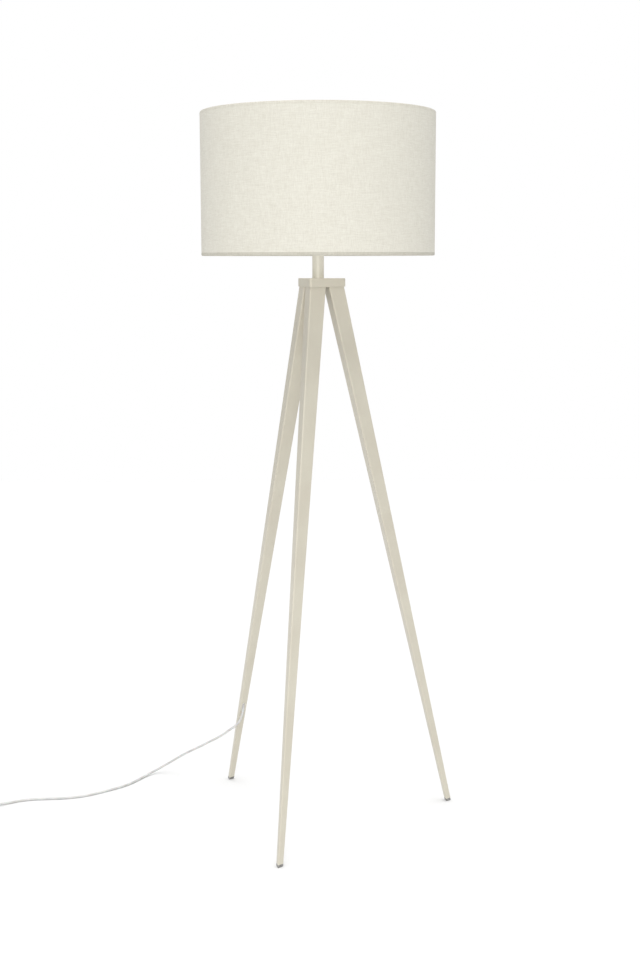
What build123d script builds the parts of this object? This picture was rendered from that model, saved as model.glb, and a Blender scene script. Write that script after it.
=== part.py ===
from build123d import *
from math import cos, pi, radians, sin, sqrt, tan
import os

# Tripod floor lamp: three folded steel legs under a triangular hub, a short stem with an E27
# lampholder and bulb, a drum shade on a three-armed spider, and a mains lead with foot switch and plug.
# Frame: origin on the floor under the stem's axis, +Z up, the lead running away towards -X.
# Units: millimetres.

os.makedirs("parts", exist_ok=True)

# Overall sizes
HUB_TOP = 1207.0              # height of the hub's top face above the floor
SHADE_ABOVE_HUB = 48.0        # from the hub's top face to the shade's lower edge
SHADE_HEIGHT = 300.0
SHADE_RADIUS = 250.0          # outside of the fabric
FOOT_SPREAD = 308.7           # from the axis to the middle of a leg's section at the floor

# Legs: tapered tubes folded from sheet, an equal-sided triangle in section, one fold outwards
LEG_NAMES = ("front", "right", "rear")
FRONT_AZIMUTH = -105.69
LEG_TURN = 120.0
LEG_TOP_RADIUS = 28.98        # from the axis to the middle of a leg's section under the hub
LEG_TOP_SIDE = 49.3
LEG_FOOT_SIDE = 17.2
LEG_SHEET = 1.2
LEG_TOP_FOLD = 1.3            # inside radius of a fold
LEG_FOOT_FOLD = 0.6

# Foot pads
PAD_HEIGHT = 6.0
PAD_PLUG = 14.0               # how far the pad's plug reaches up into the leg
PAD_PLUG_GAP = 0.15
PAD_EDGE = 1.0

# Hub: a pressed triangular cover over a steel plate, which the legs are screwed to from above
HUB_HEIGHT = 18.0
HUB_LEG_GAP = 0.335           # between the cover's inside and the legs
HUB_CORNER_FILLET = 3.5
HUB_SHEET = 1.6
HUB_EDGE = 1.4                # rounding of the cover's top edge
HUB_PLATE = 4.0
HUB_PLATE_GAP = 0.3

# Leg screws (M6 countersunk) and the tapped inserts welded into the legs
SCREW_RADIUS = 2.95
SCREW_HEAD_RADIUS = 6.0
SCREW_LENGTH = 16.0
SCREW_SINK = 0.2              # head below the hub's top face
SCREW_SOCKET = 4.0            # across the flats of the hexagon
SCREW_SOCKET_DEPTH = 2.2
SCREW_CLEARANCE = 0.25
INSERT_THICKNESS = 8.0
INSERT_CORNER = 5.0
INSERT_THREAD_GAP = 0.05

# Stem and the threaded tube that clamps hub, stem and lampholder together
STEM_RADIUS = 12.5
STEM_WALL = 1.2
STEM_LENGTH = 65.0
STEM_CAP = 3.0
STEM_SPIGOT = 6.0
STEM_SPIGOT_GAP = 0.1
ROD_RADIUS = 5.0
ROD_WALL = 1.2
ROD_GAP = 0.05
WASHER_RIM = 5.0              # washer's radius beyond the tube's
WASHER_THICKNESS = 1.6
NUT_WALL = 2.0
NUT_HEIGHT = 4.0
ROD_BELOW_NUT = 0.8
ROD_BELOW_BOSS = 1.0          # the tube ends this far below the top of the holder's boss

# Lampholder
SHELL_INNER = 13.7            # E27 screw shell
SHELL_WALL = 0.4
SHELL_HEIGHT = 27.0
THREAD_PITCH = 3.6
HOLDER_TAPER = 2.8            # how much narrower the cap's base is than its rim
HOLDER_CAP_HEIGHT = 22.0
HOLDER_WALL = 2.0
HOLDER_BOSS_WALL = 3.0
HOLDER_BOSS_HEIGHT = 10.0
HOLDER_FLANGE = 3.0
HOLDER_FLANGE_RIM = 4.1       # flange beyond the skirt
HOLDER_SKIRT_WALL = 2.2
HOLDER_SKIRT_ROOM = 3.5       # between the inside of the screw shell and the inside of the skirt
HOLDER_SKIRT_ABOVE_SHELL = 5.0
HOLDER_SPIGOT = 7.0
HOLDER_FIT = 0.1
INSULATOR_HEIGHT = 9.0
TERMINAL_SPACING = 16.0
TERMINAL_SIZE = 5.0
TERMINAL_HEIGHT = 7.0
CONTACT_WIDTH = 4.0
CONTACT_SHEET = 0.5
CONTACT_RISE = 2.0

# Bulb
BULB_CAP_GAP = 0.4            # between the bulb's cap and the screw shell
BULB_CAP_WALL = 0.4
BULB_CAP_EDGE = 2.6
BULB_TIP_RADIUS = 4.6
BULB_TIP_HEIGHT = 1.5
BULB_ABOVE_SHELL = 1.5        # between the screw shell and the bulb's housing
BULB_NECK_STEP = 1.1          # housing's neck beyond the cap
BULB_NECK_SLOPE = 0.2
BULB_SHOULDER_SLOPE = 0.25
BULB_RADIUS = 30.0
BULB_HOUSING_HEIGHT = 36.0
BULB_WALL = 1.5

# Shade
FABRIC_THICKNESS = 0.8
LINER_THICKNESS = 0.8
WIRE_RADIUS = 1.5
HEM_THICKNESS = 1.0
HEM_GAP = 0.1                 # between the hem and the wire inside it
HEM_OUTER_HEIGHT = 4.4        # from the wire's middle to the hem's outer edge
HEM_INNER_HEIGHT = 10.0
FITTER_GAP = 1.1              # between the holder's skirt and the fitter ring
FITTER_RIM = 4.0              # fitter ring beyond the holder's flange
FITTER_THICKNESS = 1.6
ARM_RADIUS = 1.5
ARM_BEND_RADIUS = 14.0
ARM_SLOPE_RUN = 42.0          # how far in from the hem an arm starts to bend down
ARM_COUNT = 3
ARM_FIRST_AZIMUTH = 90.0
SHADE_RING_RIM = 0.5          # shade ring beyond the fitter ring
SHADE_RING_HEIGHT = 8.0
SHADE_RING_NOTCHES = 12
SHADE_RING_NOTCH = 1.6

# Lead
LEAD_RADIUS = 2.6
LEAD_CORE_RADIUS = 0.85
LEAD_CORE_GAP = 0.15
CORE_BEND = 1.5               # where the cores bend, above the jacket's end and below the terminals
LEAD_TOP_ABOVE_BOSS = 0.5
LEAD_FIRST_BEND = 15.0        # under the hub the lead turns to the rear leg: first bend below the top face
LEAD_SECOND_BEND = 24.4
LEAD_SECOND_BEND_OUT = 7.5    # second bend's distance from the axis
LEAD_ENTRY_DROP = 37.0        # from the hub's top face down to where the lead joins the leg's middle
LEAD_HOLE_DROP = 30.0
LEAD_HOLE_GAP = 2.0
TERMINAL_HOLE_GAP = 0.3
SLOT_HEIGHT_ABOVE_FLOOR = 192.0
SLOT_LENGTH = 22.0
SLOT_LEAD_GAP = 1.4           # on each side of the lead inside the grommet
SLOT_ALONG = 2.0              # slot's middle, sideways from the middle of the leg's inner face
GROMMET_WALL = 0.7
GROMMET_FLANGE = 1.0
GROMMET_FLANGE_HEIGHT = 1.0
EXIT_BEND_HEIGHT = 203.6      # where the lead leaves the leg's middle for the slot
EXIT_BEND_ALONG = -1.5
EXIT_BEND_OUT = -5.8

# The free lead from the slot to the foot switch, point by point: down the leg's inner face, round
# its edge, down to the floor in a slack curve and away over the floor.
LEAD_ROUTE = [
    (-181.3, 182.8, 192.5),
    (-181.6, 177.9, 180.5),
    (-184.9, 175.4, 169.6),
    (-190.6, 174.9, 158.2),
    (-200.0, 176.5, 147.0),
    (-214.0, 180.5, 136.5),
    (-236.0, 188.5, 118.0),
    (-262.0, 203.0, 100.5),
    (-290.0, 223.0, 79.5),
    (-326.0, 246.0, 56.0),
    (-361.0, 264.0, 29.5),
    (-392.6, 264.0, 10.8),
    (-417.0, 244.0, 3.9),
    (-437.0, 209.0, 2.6),
    (-457.0, 176.0, 2.6),
    (-484.0, 149.0, 2.6),
    (-517.0, 123.4, 2.6),
    (-553.0, 98.5, 2.6),
    (-595.0, 86.0, 2.6),
    (-640.0, 83.0, 2.6),
    (-683.0, 78.0, 2.6),
    (-717.0, 60.0, 2.6),
    (-755.0, 32.5, 7.0),
    (-788.2, 7.6, 7.0),
]
# From the foot switch to the coil, and from the coil to the plug
TAIL_ROUTE = [
    (-813.8, -11.6, 7.0),
    (-847.0, -36.5, 7.0),
    (-865.8, -50.6, 3.2),
]
PLUG_ROUTE = [
    (-844.7, -114.0, 8.4),
    (-826.0, -114.6, 7.6),
    (-807.0, -114.0, 6.9),
]

# Coil of the lead and its tie
COIL_CENTRE = (-844.7, -78.8)
COIL_MIDDLE_RADIUS = 30.0
COIL_TURNS_WIDE = 3
COIL_LAYERS = 2
TIE_THICKNESS = 0.6
TIE_WIDTH = 12.0
TIE_AZIMUTH = -15.0
TIE_SLACK = 1.0

# Foot switch
SWITCH_CENTRE = (-801.0, -2.0)
SWITCH_AZIMUTH = 216.87
SWITCH_LENGTH = 70.0
SWITCH_WIDTH = 38.0
SWITCH_CORNER = 12.0
SWITCH_SPLIT = 7.0            # height of the joint between base and cover, level with the lead
SWITCH_HEIGHT = 22.0
SWITCH_WALL = 2.0
SWITCH_TOP_EDGE = 4.0
SWITCH_LEAD_GAP = 0.4
RELIEF_LENGTH = 20.0
RELIEF_ROOT_WALL = 2.0
RELIEF_TIP_WALL = 0.6
BUTTON_RADIUS = 12.0
BUTTON_GAP = 0.3
BUTTON_PROUD = 3.4
BUTTON_FLANGE = 1.6
BUTTON_FLANGE_HEIGHT = 1.5
BUTTON_STOP_GAP = 0.1
BUTTON_WALL = 1.6
BUTTON_TRAVEL = 3.0
PLUNGER_RADIUS = 2.4
PLUNGER_GAP = 0.6             # between the plunger and the contact block with the button down
BLOCK_LENGTH = 22.0
BLOCK_WIDTH = 15.0
BLOCK_HEIGHT = 7.0
BLOCK_EDGE = 1.0
SPRING_RADIUS = 6.0
SPRING_WIRE = 0.45
SPRING_TURNS = 4
SPRING_GAP = 0.05
COVER_SCREW_RADIUS = 1.5
COVER_SCREW_HEAD = 2.8
COVER_SCREW_HEAD_HEIGHT = 2.0
COVER_SCREW_SLOT_LENGTH = 2.4
COVER_SCREW_SLOT_WIDTH = 0.6
COVER_SCREW_SHORTER = 10.0    # than the switch is high
COVER_SCREW_FROM_END = 10.0
COVER_SCREW_FROM_SIDE = 7.0
COVER_BOSS_WALL = 1.9
COVER_SCREW_GAP = 0.1

# Plug (flat two-pin)
PLUG_FRONT = (-747.0, -114.0)
PLUG_LENGTH = 36.0
PLUG_WIDTH = 35.0
PLUG_REAR_WIDTH = 16.0
PLUG_HEIGHT = 13.8
PLUG_REAR_HEIGHT = 11.8
PLUG_SIDE_FLAT = 0.4          # flat left between the rounded edges
PLUG_RELIEF = 24.0
PLUG_RELIEF_ROOT_WALL = 2.4
PLUG_RELIEF_TIP_WALL = 0.8
PIN_RADIUS = 2.0
PIN_STEP = 0.4                # a pin's root in the plug is thinner by this
PIN_LENGTH = 19.0
PIN_SPACING = 18.6
PIN_TIP = 0.8
PIN_ROOT = 8.0

# Heights and radii that follow from the sizes above
HUB_BOTTOM = HUB_TOP - HUB_HEIGHT
LEG_TOP = HUB_TOP - HUB_SHEET - HUB_PLATE
INSERT_BOTTOM = LEG_TOP - INSERT_THICKNESS
STEM_TOP = HUB_TOP + STEM_LENGTH
HOLDER_BOTTOM = STEM_TOP + STEM_CAP
ROD_BOTTOM = LEG_TOP - WASHER_THICKNESS - NUT_HEIGHT - ROD_BELOW_NUT
ROD_TOP = HOLDER_BOTTOM + HOLDER_BOSS_HEIGHT - ROD_BELOW_BOSS
FLANGE_BOTTOM = HOLDER_BOTTOM + HOLDER_CAP_HEIGHT
FLANGE_TOP = FLANGE_BOTTOM + HOLDER_FLANGE
SHELL_TOP = FLANGE_TOP + SHELL_HEIGHT
SKIRT_TOP = SHELL_TOP + HOLDER_SKIRT_ABOVE_SHELL
INSULATOR_BOTTOM = FLANGE_TOP - INSULATOR_HEIGHT
FITTER_TOP = FLANGE_TOP + FITTER_THICKNESS
BULB_BOTTOM = FLANGE_TOP + CONTACT_SHEET + CONTACT_RISE
SHADE_BOTTOM = HUB_TOP + SHADE_ABOVE_HUB
SHADE_TOP = SHADE_BOTTOM + SHADE_HEIGHT
ROD_BORE = ROD_RADIUS - ROD_WALL
SPIGOT_RADIUS = SHELL_INNER + HOLDER_WALL
HOLDER_CAP_RADIUS = SPIGOT_RADIUS + HOLDER_FIT + HOLDER_WALL
HOLDER_BASE_RADIUS = HOLDER_CAP_RADIUS - HOLDER_TAPER
HOLDER_BOSS_RADIUS = ROD_RADIUS + HOLDER_BOSS_WALL
SKIRT_INNER = SHELL_INNER + HOLDER_SKIRT_ROOM
SKIRT_RADIUS = SKIRT_INNER + HOLDER_SKIRT_WALL
FLANGE_RADIUS = SKIRT_RADIUS + HOLDER_FLANGE_RIM
FITTER_INNER = SKIRT_RADIUS + FITTER_GAP
FITTER_OUTER = FLANGE_RADIUS + FITTER_RIM
SHADE_RING_OUTER = FITTER_OUTER + SHADE_RING_RIM
BULB_CAP_RADIUS = SHELL_INNER - BULB_CAP_GAP
BULB_NECK_RADIUS = BULB_CAP_RADIUS + BULB_NECK_STEP
SLOT_WIDTH = 2 * (LEAD_RADIUS + SLOT_LEAD_GAP + GROMMET_WALL)


def leg_share(height):
    """How far a height is along a leg, 0 at the floor and 1 under the hub."""
    return height / LEG_TOP


def leg_radius(height):
    """Distance from the lamp's axis to the middle of a leg's section."""
    return FOOT_SPREAD + (LEG_TOP_RADIUS - FOOT_SPREAD) * leg_share(height)


def leg_side(height):
    """Side of a leg's triangular section."""
    return LEG_FOOT_SIDE + (LEG_TOP_SIDE - LEG_FOOT_SIDE) * leg_share(height)


def leg_fold(height):
    """Inside radius of a leg's folds."""
    return LEG_FOOT_FOLD + (LEG_TOP_FOLD - LEG_FOOT_FOLD) * leg_share(height)


def leg_azimuth(index):
    return FRONT_AZIMUTH + index * LEG_TURN


def around(radius, azimuth, height):
    """A point at a radius and an azimuth about the lamp's axis."""
    return Vector(radius * cos(radians(azimuth)), radius * sin(radians(azimuth)), height)


def leg_plane(azimuth, height):
    """Horizontal plane at a height, centred on a leg, its X pointing away from the axis."""
    outwards = around(1, azimuth, 0)
    return Plane(origin=around(leg_radius(height), azimuth, height), x_dir=outwards, z_dir=(0, 0, 1))


def leg_corner(height):
    """From the middle of a leg's section to its corner, before the folds are rounded."""
    return leg_side(height) / sqrt(3)


def leg_triangle(height, inset, corner):
    """Section of a leg at a height, moved in from the outside, for the sketch in progress."""
    triangle = RegularPolygon(radius=leg_corner(height) - 2 * inset, side_count=3)
    fillet(triangle.vertices(), corner)


def leg_face(height):
    """Distance from the lamp's axis to a leg's inner face."""
    return leg_radius(height) - leg_corner(height) / 2


def inner_face_plane(azimuth, height):
    """Plane on a leg's inner face: Z out of the face, X sideways, Y down along it."""
    sideways = around(1, azimuth + 90, 0)
    upwards = around(leg_face(height + 1) - leg_face(height), azimuth, 1)
    middle = around(leg_face(height), azimuth, height)
    return Plane(origin=middle, x_dir=sideways, z_dir=upwards.cross(sideways))


def beside_inner_face(azimuth, height, along, out):
    """A point at a height, measured sideways and outwards from the middle of a leg's inner face."""
    return around(leg_face(height) - out, azimuth, height) + around(along, azimuth + 90, 0)


def screw_places():
    """Middles of the three leg screws."""
    return [around(LEG_TOP_RADIUS, leg_azimuth(i), 0) for i in range(3)]


def save(builder, name):
    builder.part.label = name
    export_step(builder.part, f"parts/{name}.step")


def turn_between(before, corner, after):
    """Angle in degrees by which a route turns at one of its points."""
    return (corner - before).get_angle(after - corner)


def route_radii(points):
    """Radius of the arc at each corner: as large as the shorter of its two runs allows."""
    radii = []
    for before, corner, after in zip(points, points[1:], points[2:]):
        shorter = min((corner - before).length, (after - corner).length)
        half_turn = radians(turn_between(before, corner, after)) / 2
        radii.append(0.45 * shorter / tan(half_turn))
    return radii


def cord_tube(points, name, radius=LEAD_RADIUS):
    """A cord of straight runs joined by tangent arcs, written as its own node."""
    points = [Vector(*p) for p in points]
    radii = route_radii(points)
    with BuildPart() as cord:
        with BuildLine() as path:
            if radii:
                FilletPolyline(*points, radius=radii)
            else:
                Line(*points)
        with BuildSketch(Plane(origin=points[0], z_dir=points[1] - points[0])):
            Circle(radius)
        sweep(path=path.wires()[0])
    length = path.wires()[0].length
    ratio = cord.part.volume / (pi * radius ** 2 * length)
    print(f"{name}: length {length:.1f} mm, volume ratio {ratio:.4f}, radii", [round(r) for r in radii])
    save(cord, name)
    return length


# Legs: each is one tapered tube, open at the top, closed at the floor by its pad
for index, leg_name in enumerate(LEG_NAMES):
    azimuth = leg_azimuth(index)
    with BuildPart() as leg:
        for height in (PAD_HEIGHT, LEG_TOP):
            with BuildSketch(leg_plane(azimuth, height)):
                leg_triangle(height, 0, leg_fold(height) + LEG_SHEET)
        loft(ruled=True)
        for height in (PAD_HEIGHT, LEG_TOP):
            with BuildSketch(leg_plane(azimuth, height)):
                leg_triangle(height, LEG_SHEET, leg_fold(height))
        loft(ruled=True, mode=Mode.SUBTRACT)
        if leg_name == "rear":
            # The lead goes in through a round hole under the hub and out through a slot near the floor
            with BuildSketch(inner_face_plane(azimuth, HUB_TOP - LEAD_HOLE_DROP)):
                Circle(LEAD_RADIUS + LEAD_HOLE_GAP)
            extrude(amount=2 * LEG_SHEET, both=True, mode=Mode.SUBTRACT)
            with BuildSketch(inner_face_plane(azimuth, SLOT_HEIGHT_ABOVE_FLOOR)):
                with Locations((SLOT_ALONG, 0)):
                    SlotOverall(SLOT_LENGTH, SLOT_WIDTH, rotation=90)
            extrude(amount=2 * LEG_SHEET, both=True, mode=Mode.SUBTRACT)
    save(leg, f"leg_{leg_name}")

    with BuildPart() as pad:
        for height in (0, PAD_HEIGHT):
            with BuildSketch(leg_plane(azimuth, height)):
                leg_triangle(height, 0, leg_fold(height) + LEG_SHEET)
        loft(ruled=True)
        chamfer(pad.edges().group_by(Axis.Z)[0], PAD_EDGE)
        for height in (PAD_HEIGHT, PAD_HEIGHT + PAD_PLUG):
            with BuildSketch(leg_plane(azimuth, height)):
                leg_triangle(height, LEG_SHEET + PAD_PLUG_GAP, leg_fold(height))
        loft(ruled=True)
    save(pad, f"foot_pad_{leg_name}")

# Tapped plates welded into the mouths of the legs
with BuildPart() as leg_inserts:
    for index in range(3):
        azimuth = leg_azimuth(index)
        for height in (INSERT_BOTTOM, LEG_TOP):
            with BuildSketch(leg_plane(azimuth, height)):
                leg_triangle(height, LEG_SHEET, INSERT_CORNER)
        loft(ruled=True)
    with BuildSketch(Plane.XY.offset(LEG_TOP)):
        with Locations(*screw_places()):
            Circle(SCREW_RADIUS + INSERT_THREAD_GAP)
    extrude(amount=-INSERT_THICKNESS, mode=Mode.SUBTRACT)
save(leg_inserts, "leg_inserts")


def hub_triangle(inset, corner):
    """The hub's outline, moved in from the outside, for the sketch in progress. Its inside clears
    the legs, whose outer faces lie along its sides."""
    outline = leg_radius(HUB_BOTTOM) + leg_corner(HUB_BOTTOM) + 2 * (HUB_LEG_GAP + HUB_SHEET)
    triangle = RegularPolygon(radius=outline - 2 * inset, side_count=3, rotation=FRONT_AZIMUTH)
    fillet(triangle.vertices(), corner)


def hub_holes():
    """The hole for the threaded tube and the three countersunk holes, cut from the part in progress."""
    with Locations((0, 0, HUB_BOTTOM)):
        Cylinder(ROD_RADIUS + ROD_GAP, 2 * HUB_HEIGHT, mode=Mode.SUBTRACT)
    hole = SCREW_RADIUS + SCREW_CLEARANCE
    head = SCREW_HEAD_RADIUS + SCREW_CLEARANCE
    for place in screw_places():
        with Locations((place.X, place.Y, HUB_BOTTOM)):
            Cylinder(hole, 2 * HUB_HEIGHT, mode=Mode.SUBTRACT)
        with Locations((place.X, place.Y, HUB_TOP)):
            Cone(hole, head, head - hole, align=(Align.CENTER, Align.CENTER, Align.MAX), mode=Mode.SUBTRACT)


# Hub cover: a pan pressed from sheet, open below
with BuildPart() as hub_cover:
    with BuildSketch(Plane.XY.offset(HUB_BOTTOM)):
        hub_triangle(0, HUB_CORNER_FILLET)
    extrude(amount=HUB_HEIGHT)
    fillet(hub_cover.edges().group_by(Axis.Z)[-1], HUB_EDGE)
    with BuildSketch(Plane.XY.offset(HUB_BOTTOM)):
        hub_triangle(HUB_SHEET, HUB_CORNER_FILLET - HUB_SHEET)
    extrude(amount=HUB_HEIGHT - HUB_SHEET, mode=Mode.SUBTRACT)
    hub_holes()
save(hub_cover, "hub_cover")

# Hub plate: the flat steel plate inside the cover that carries the load
with BuildPart() as hub_plate:
    with BuildSketch(Plane.XY.offset(LEG_TOP)):
        hub_triangle(HUB_SHEET + HUB_PLATE_GAP, HUB_CORNER_FILLET - HUB_SHEET)
    extrude(amount=HUB_PLATE)
    hub_holes()
save(hub_plate, "hub_plate")

# Countersunk leg screws with a hexagon socket
with BuildPart() as leg_screws:
    for place in screw_places():
        head_top = HUB_TOP - SCREW_SINK
        with Locations((place.X, place.Y, head_top)):
            head_height = SCREW_HEAD_RADIUS - SCREW_RADIUS
            Cone(SCREW_RADIUS, SCREW_HEAD_RADIUS, head_height, align=(Align.CENTER, Align.CENTER, Align.MAX))
            Cylinder(SCREW_RADIUS, SCREW_LENGTH, align=(Align.CENTER, Align.CENTER, Align.MAX))
        with BuildSketch(Plane.XY.offset(head_top)):
            with Locations((place.X, place.Y)):
                RegularPolygon(radius=SCREW_SOCKET / 2, side_count=6, major_radius=False)
        extrude(amount=-SCREW_SOCKET_DEPTH, mode=Mode.SUBTRACT)
save(leg_screws, "leg_screws")


def ring(builder_name, inner, outer, bottom, top):
    """A plain round ring about the lamp's axis."""
    with BuildPart() as part:
        with BuildSketch(Plane.XY.offset(bottom)):
            Circle(outer)
            Circle(inner, mode=Mode.SUBTRACT)
        extrude(amount=top - bottom)
    save(part, builder_name)


# Stem, threaded tube, washer
ring("stem_tube", STEM_RADIUS - STEM_WALL, STEM_RADIUS, HUB_TOP, STEM_TOP)
ring("threaded_tube", ROD_BORE, ROD_RADIUS, ROD_BOTTOM, ROD_TOP)
ring("hub_washer", ROD_RADIUS + ROD_GAP, ROD_RADIUS + WASHER_RIM, LEG_TOP - WASHER_THICKNESS, LEG_TOP)

with BuildPart() as hub_nut:
    with BuildSketch(Plane.XY.offset(LEG_TOP - WASHER_THICKNESS)):
        RegularPolygon(radius=ROD_RADIUS + NUT_WALL, side_count=6, major_radius=False)
        Circle(ROD_RADIUS + ROD_GAP, mode=Mode.SUBTRACT)
    extrude(amount=-NUT_HEIGHT)
save(hub_nut, "hub_nut")

# Stem cap: a turned disc with a spigot that centres the stem
with BuildPart() as stem_cap:
    with BuildSketch(Plane.XY.offset(STEM_TOP)):
        Circle(STEM_RADIUS)
    extrude(amount=STEM_CAP)
    with BuildSketch(Plane.XY.offset(STEM_TOP)):
        Circle(STEM_RADIUS - STEM_WALL - STEM_SPIGOT_GAP)
    extrude(amount=-STEM_SPIGOT)
    with BuildSketch(Plane.XY.offset(HOLDER_BOTTOM)):
        Circle(ROD_RADIUS + ROD_GAP)
    extrude(amount=-STEM_CAP - STEM_SPIGOT, mode=Mode.SUBTRACT)
save(stem_cap, "stem_cap")

# Lampholder cap: a thimble screwed on the threaded tube, holding the wiring
with BuildPart() as holder_cap:
    with BuildSketch(Plane.XZ):
        with BuildLine():
            Polyline(
                (ROD_RADIUS + ROD_GAP, HOLDER_BOTTOM),
                (HOLDER_BASE_RADIUS, HOLDER_BOTTOM),
                (HOLDER_CAP_RADIUS, FLANGE_BOTTOM - HOLDER_SPIGOT),
                (HOLDER_CAP_RADIUS, FLANGE_BOTTOM),
                (HOLDER_CAP_RADIUS - HOLDER_WALL, FLANGE_BOTTOM),
                (HOLDER_CAP_RADIUS - HOLDER_WALL, FLANGE_BOTTOM - HOLDER_SPIGOT),
                (HOLDER_BASE_RADIUS - HOLDER_WALL, HOLDER_BOTTOM + HOLDER_WALL),
                (HOLDER_BOSS_RADIUS, HOLDER_BOTTOM + HOLDER_WALL),
                (HOLDER_BOSS_RADIUS, HOLDER_BOTTOM + HOLDER_BOSS_HEIGHT),
                (ROD_RADIUS + ROD_GAP, HOLDER_BOTTOM + HOLDER_BOSS_HEIGHT),
                close=True,
            )
        make_face()
    revolve(axis=Axis.Z)
save(holder_cap, "holder_cap")

# Lampholder body: flange for the shade, threaded skirt above it, spigot into the cap below it
with BuildPart() as holder_body:
    with BuildSketch(Plane.XZ):
        with BuildLine():
            Polyline(
                (SHELL_INNER, FLANGE_BOTTOM - HOLDER_SPIGOT),
                (SPIGOT_RADIUS, FLANGE_BOTTOM - HOLDER_SPIGOT),
                (SPIGOT_RADIUS, FLANGE_BOTTOM),
                (FLANGE_RADIUS, FLANGE_BOTTOM),
                (FLANGE_RADIUS, FLANGE_TOP),
                (SKIRT_RADIUS, FLANGE_TOP),
                (SKIRT_RADIUS, SKIRT_TOP),
                (SKIRT_INNER, SKIRT_TOP),
                (SKIRT_INNER, FLANGE_TOP),
                (SHELL_INNER, FLANGE_TOP),
                close=True,
            )
        make_face()
    revolve(axis=Axis.Z)
save(holder_body, "holder_body")

# Insulator that carries the contacts, with pockets for the terminals
terminal_places = [(side * TERMINAL_SPACING / 2, 0) for side in (-1, 1)]
with BuildPart() as holder_insulator:
    with BuildSketch(Plane.XY.offset(INSULATOR_BOTTOM)):
        Circle(SHELL_INNER - HOLDER_FIT)
    extrude(amount=INSULATOR_HEIGHT)
    with BuildSketch(Plane.XY.offset(INSULATOR_BOTTOM)):
        with Locations(*terminal_places):
            Rectangle(TERMINAL_SIZE, TERMINAL_SIZE)
    extrude(amount=TERMINAL_HEIGHT, mode=Mode.SUBTRACT)
save(holder_insulator, "holder_insulator")

with BuildPart() as holder_terminals:
    with BuildSketch(Plane.XY.offset(INSULATOR_BOTTOM)):
        with Locations(*terminal_places):
            Rectangle(TERMINAL_SIZE, TERMINAL_SIZE)
            Circle(LEAD_CORE_RADIUS + TERMINAL_HOLE_GAP, mode=Mode.SUBTRACT)
    extrude(amount=TERMINAL_HEIGHT)
save(holder_terminals, "holder_terminals")

# Screw shell with its rolled thread ridges, standing on the holder's body
thread_ridges = int(SHELL_HEIGHT / THREAD_PITCH) - 1
with BuildPart() as screw_shell:
    with BuildSketch(Plane.XZ):
        with Locations((SHELL_INNER + SHELL_WALL / 2, FLANGE_TOP + SHELL_HEIGHT / 2)):
            Rectangle(SHELL_WALL, SHELL_HEIGHT)
        for ridge in range(thread_ridges):
            with Locations((SHELL_INNER + SHELL_WALL, FLANGE_TOP + THREAD_PITCH * (ridge + 1))):
                Circle(THREAD_PITCH / 4)
        with Locations((SHELL_INNER / 2, FLANGE_TOP + SHELL_HEIGHT / 2)):
            Rectangle(SHELL_INNER, SHELL_HEIGHT, mode=Mode.SUBTRACT)
    revolve(axis=Axis.Z)
save(screw_shell, "screw_shell")

# Centre contact: a bent strip whose tongue presses on the bulb's tip
tongue = CONTACT_WIDTH * 2
with BuildPart() as centre_contact:
    with BuildSketch(Plane.XZ):
        with BuildLine():
            Polyline(
                (-tongue, FLANGE_TOP),
                (-CONTACT_WIDTH / 2, FLANGE_TOP),
                (CONTACT_WIDTH, FLANGE_TOP + CONTACT_RISE),
                (CONTACT_WIDTH, FLANGE_TOP + CONTACT_RISE + CONTACT_SHEET),
                (0, FLANGE_TOP + CONTACT_RISE + CONTACT_SHEET),
                (-CONTACT_WIDTH, FLANGE_TOP + CONTACT_SHEET),
                (-tongue, FLANGE_TOP + CONTACT_SHEET),
                close=True,
            )
        make_face()
    extrude(amount=CONTACT_WIDTH / 2, both=True)
save(centre_contact, "centre_contact")

# Bulb: tip, screw cap, plastic housing and opal globe
cap_bottom = BULB_BOTTOM + BULB_TIP_HEIGHT
housing_bottom = SHELL_TOP + BULB_ABOVE_SHELL
globe_bottom = housing_bottom + BULB_HOUSING_HEIGHT
with BuildPart() as bulb_tip:
    with BuildSketch(Plane.XY.offset(BULB_BOTTOM)):
        Circle(BULB_TIP_RADIUS)
    extrude(amount=BULB_TIP_HEIGHT)
    fillet(bulb_tip.edges().group_by(Axis.Z)[0], BULB_TIP_HEIGHT / 2)
save(bulb_tip, "bulb_tip")

with BuildPart() as bulb_cap:
    with BuildSketch(Plane.XY.offset(cap_bottom)):
        Circle(BULB_CAP_RADIUS)
    extrude(amount=housing_bottom - cap_bottom)
    chamfer(bulb_cap.edges().group_by(Axis.Z)[0], BULB_CAP_EDGE)
    with BuildSketch(Plane.XY.offset(housing_bottom)):
        Circle(BULB_CAP_RADIUS - BULB_CAP_WALL)
    extrude(amount=cap_bottom + BULB_CAP_EDGE + BULB_CAP_WALL - housing_bottom, mode=Mode.SUBTRACT)
save(bulb_cap, "bulb_cap")

with BuildPart() as bulb_housing:
    with BuildSketch(Plane.XZ):
        with BuildLine():
            outside = Spline(
                (BULB_NECK_RADIUS, housing_bottom),
                (BULB_RADIUS, globe_bottom),
                tangents=[(BULB_NECK_SLOPE, 1), (BULB_SHOULDER_SLOPE, 1)],
            )
            Line(outside @ 1, (BULB_RADIUS - BULB_WALL, globe_bottom))
            inside = Spline(
                (BULB_RADIUS - BULB_WALL, globe_bottom),
                (BULB_NECK_RADIUS - BULB_WALL, housing_bottom),
                tangents=[(-BULB_SHOULDER_SLOPE, -1), (-BULB_NECK_SLOPE, -1)],
            )
            Line(inside @ 1, outside @ 0)
        make_face()
    revolve(axis=Axis.Z)
save(bulb_housing, "bulb_housing")

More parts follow.
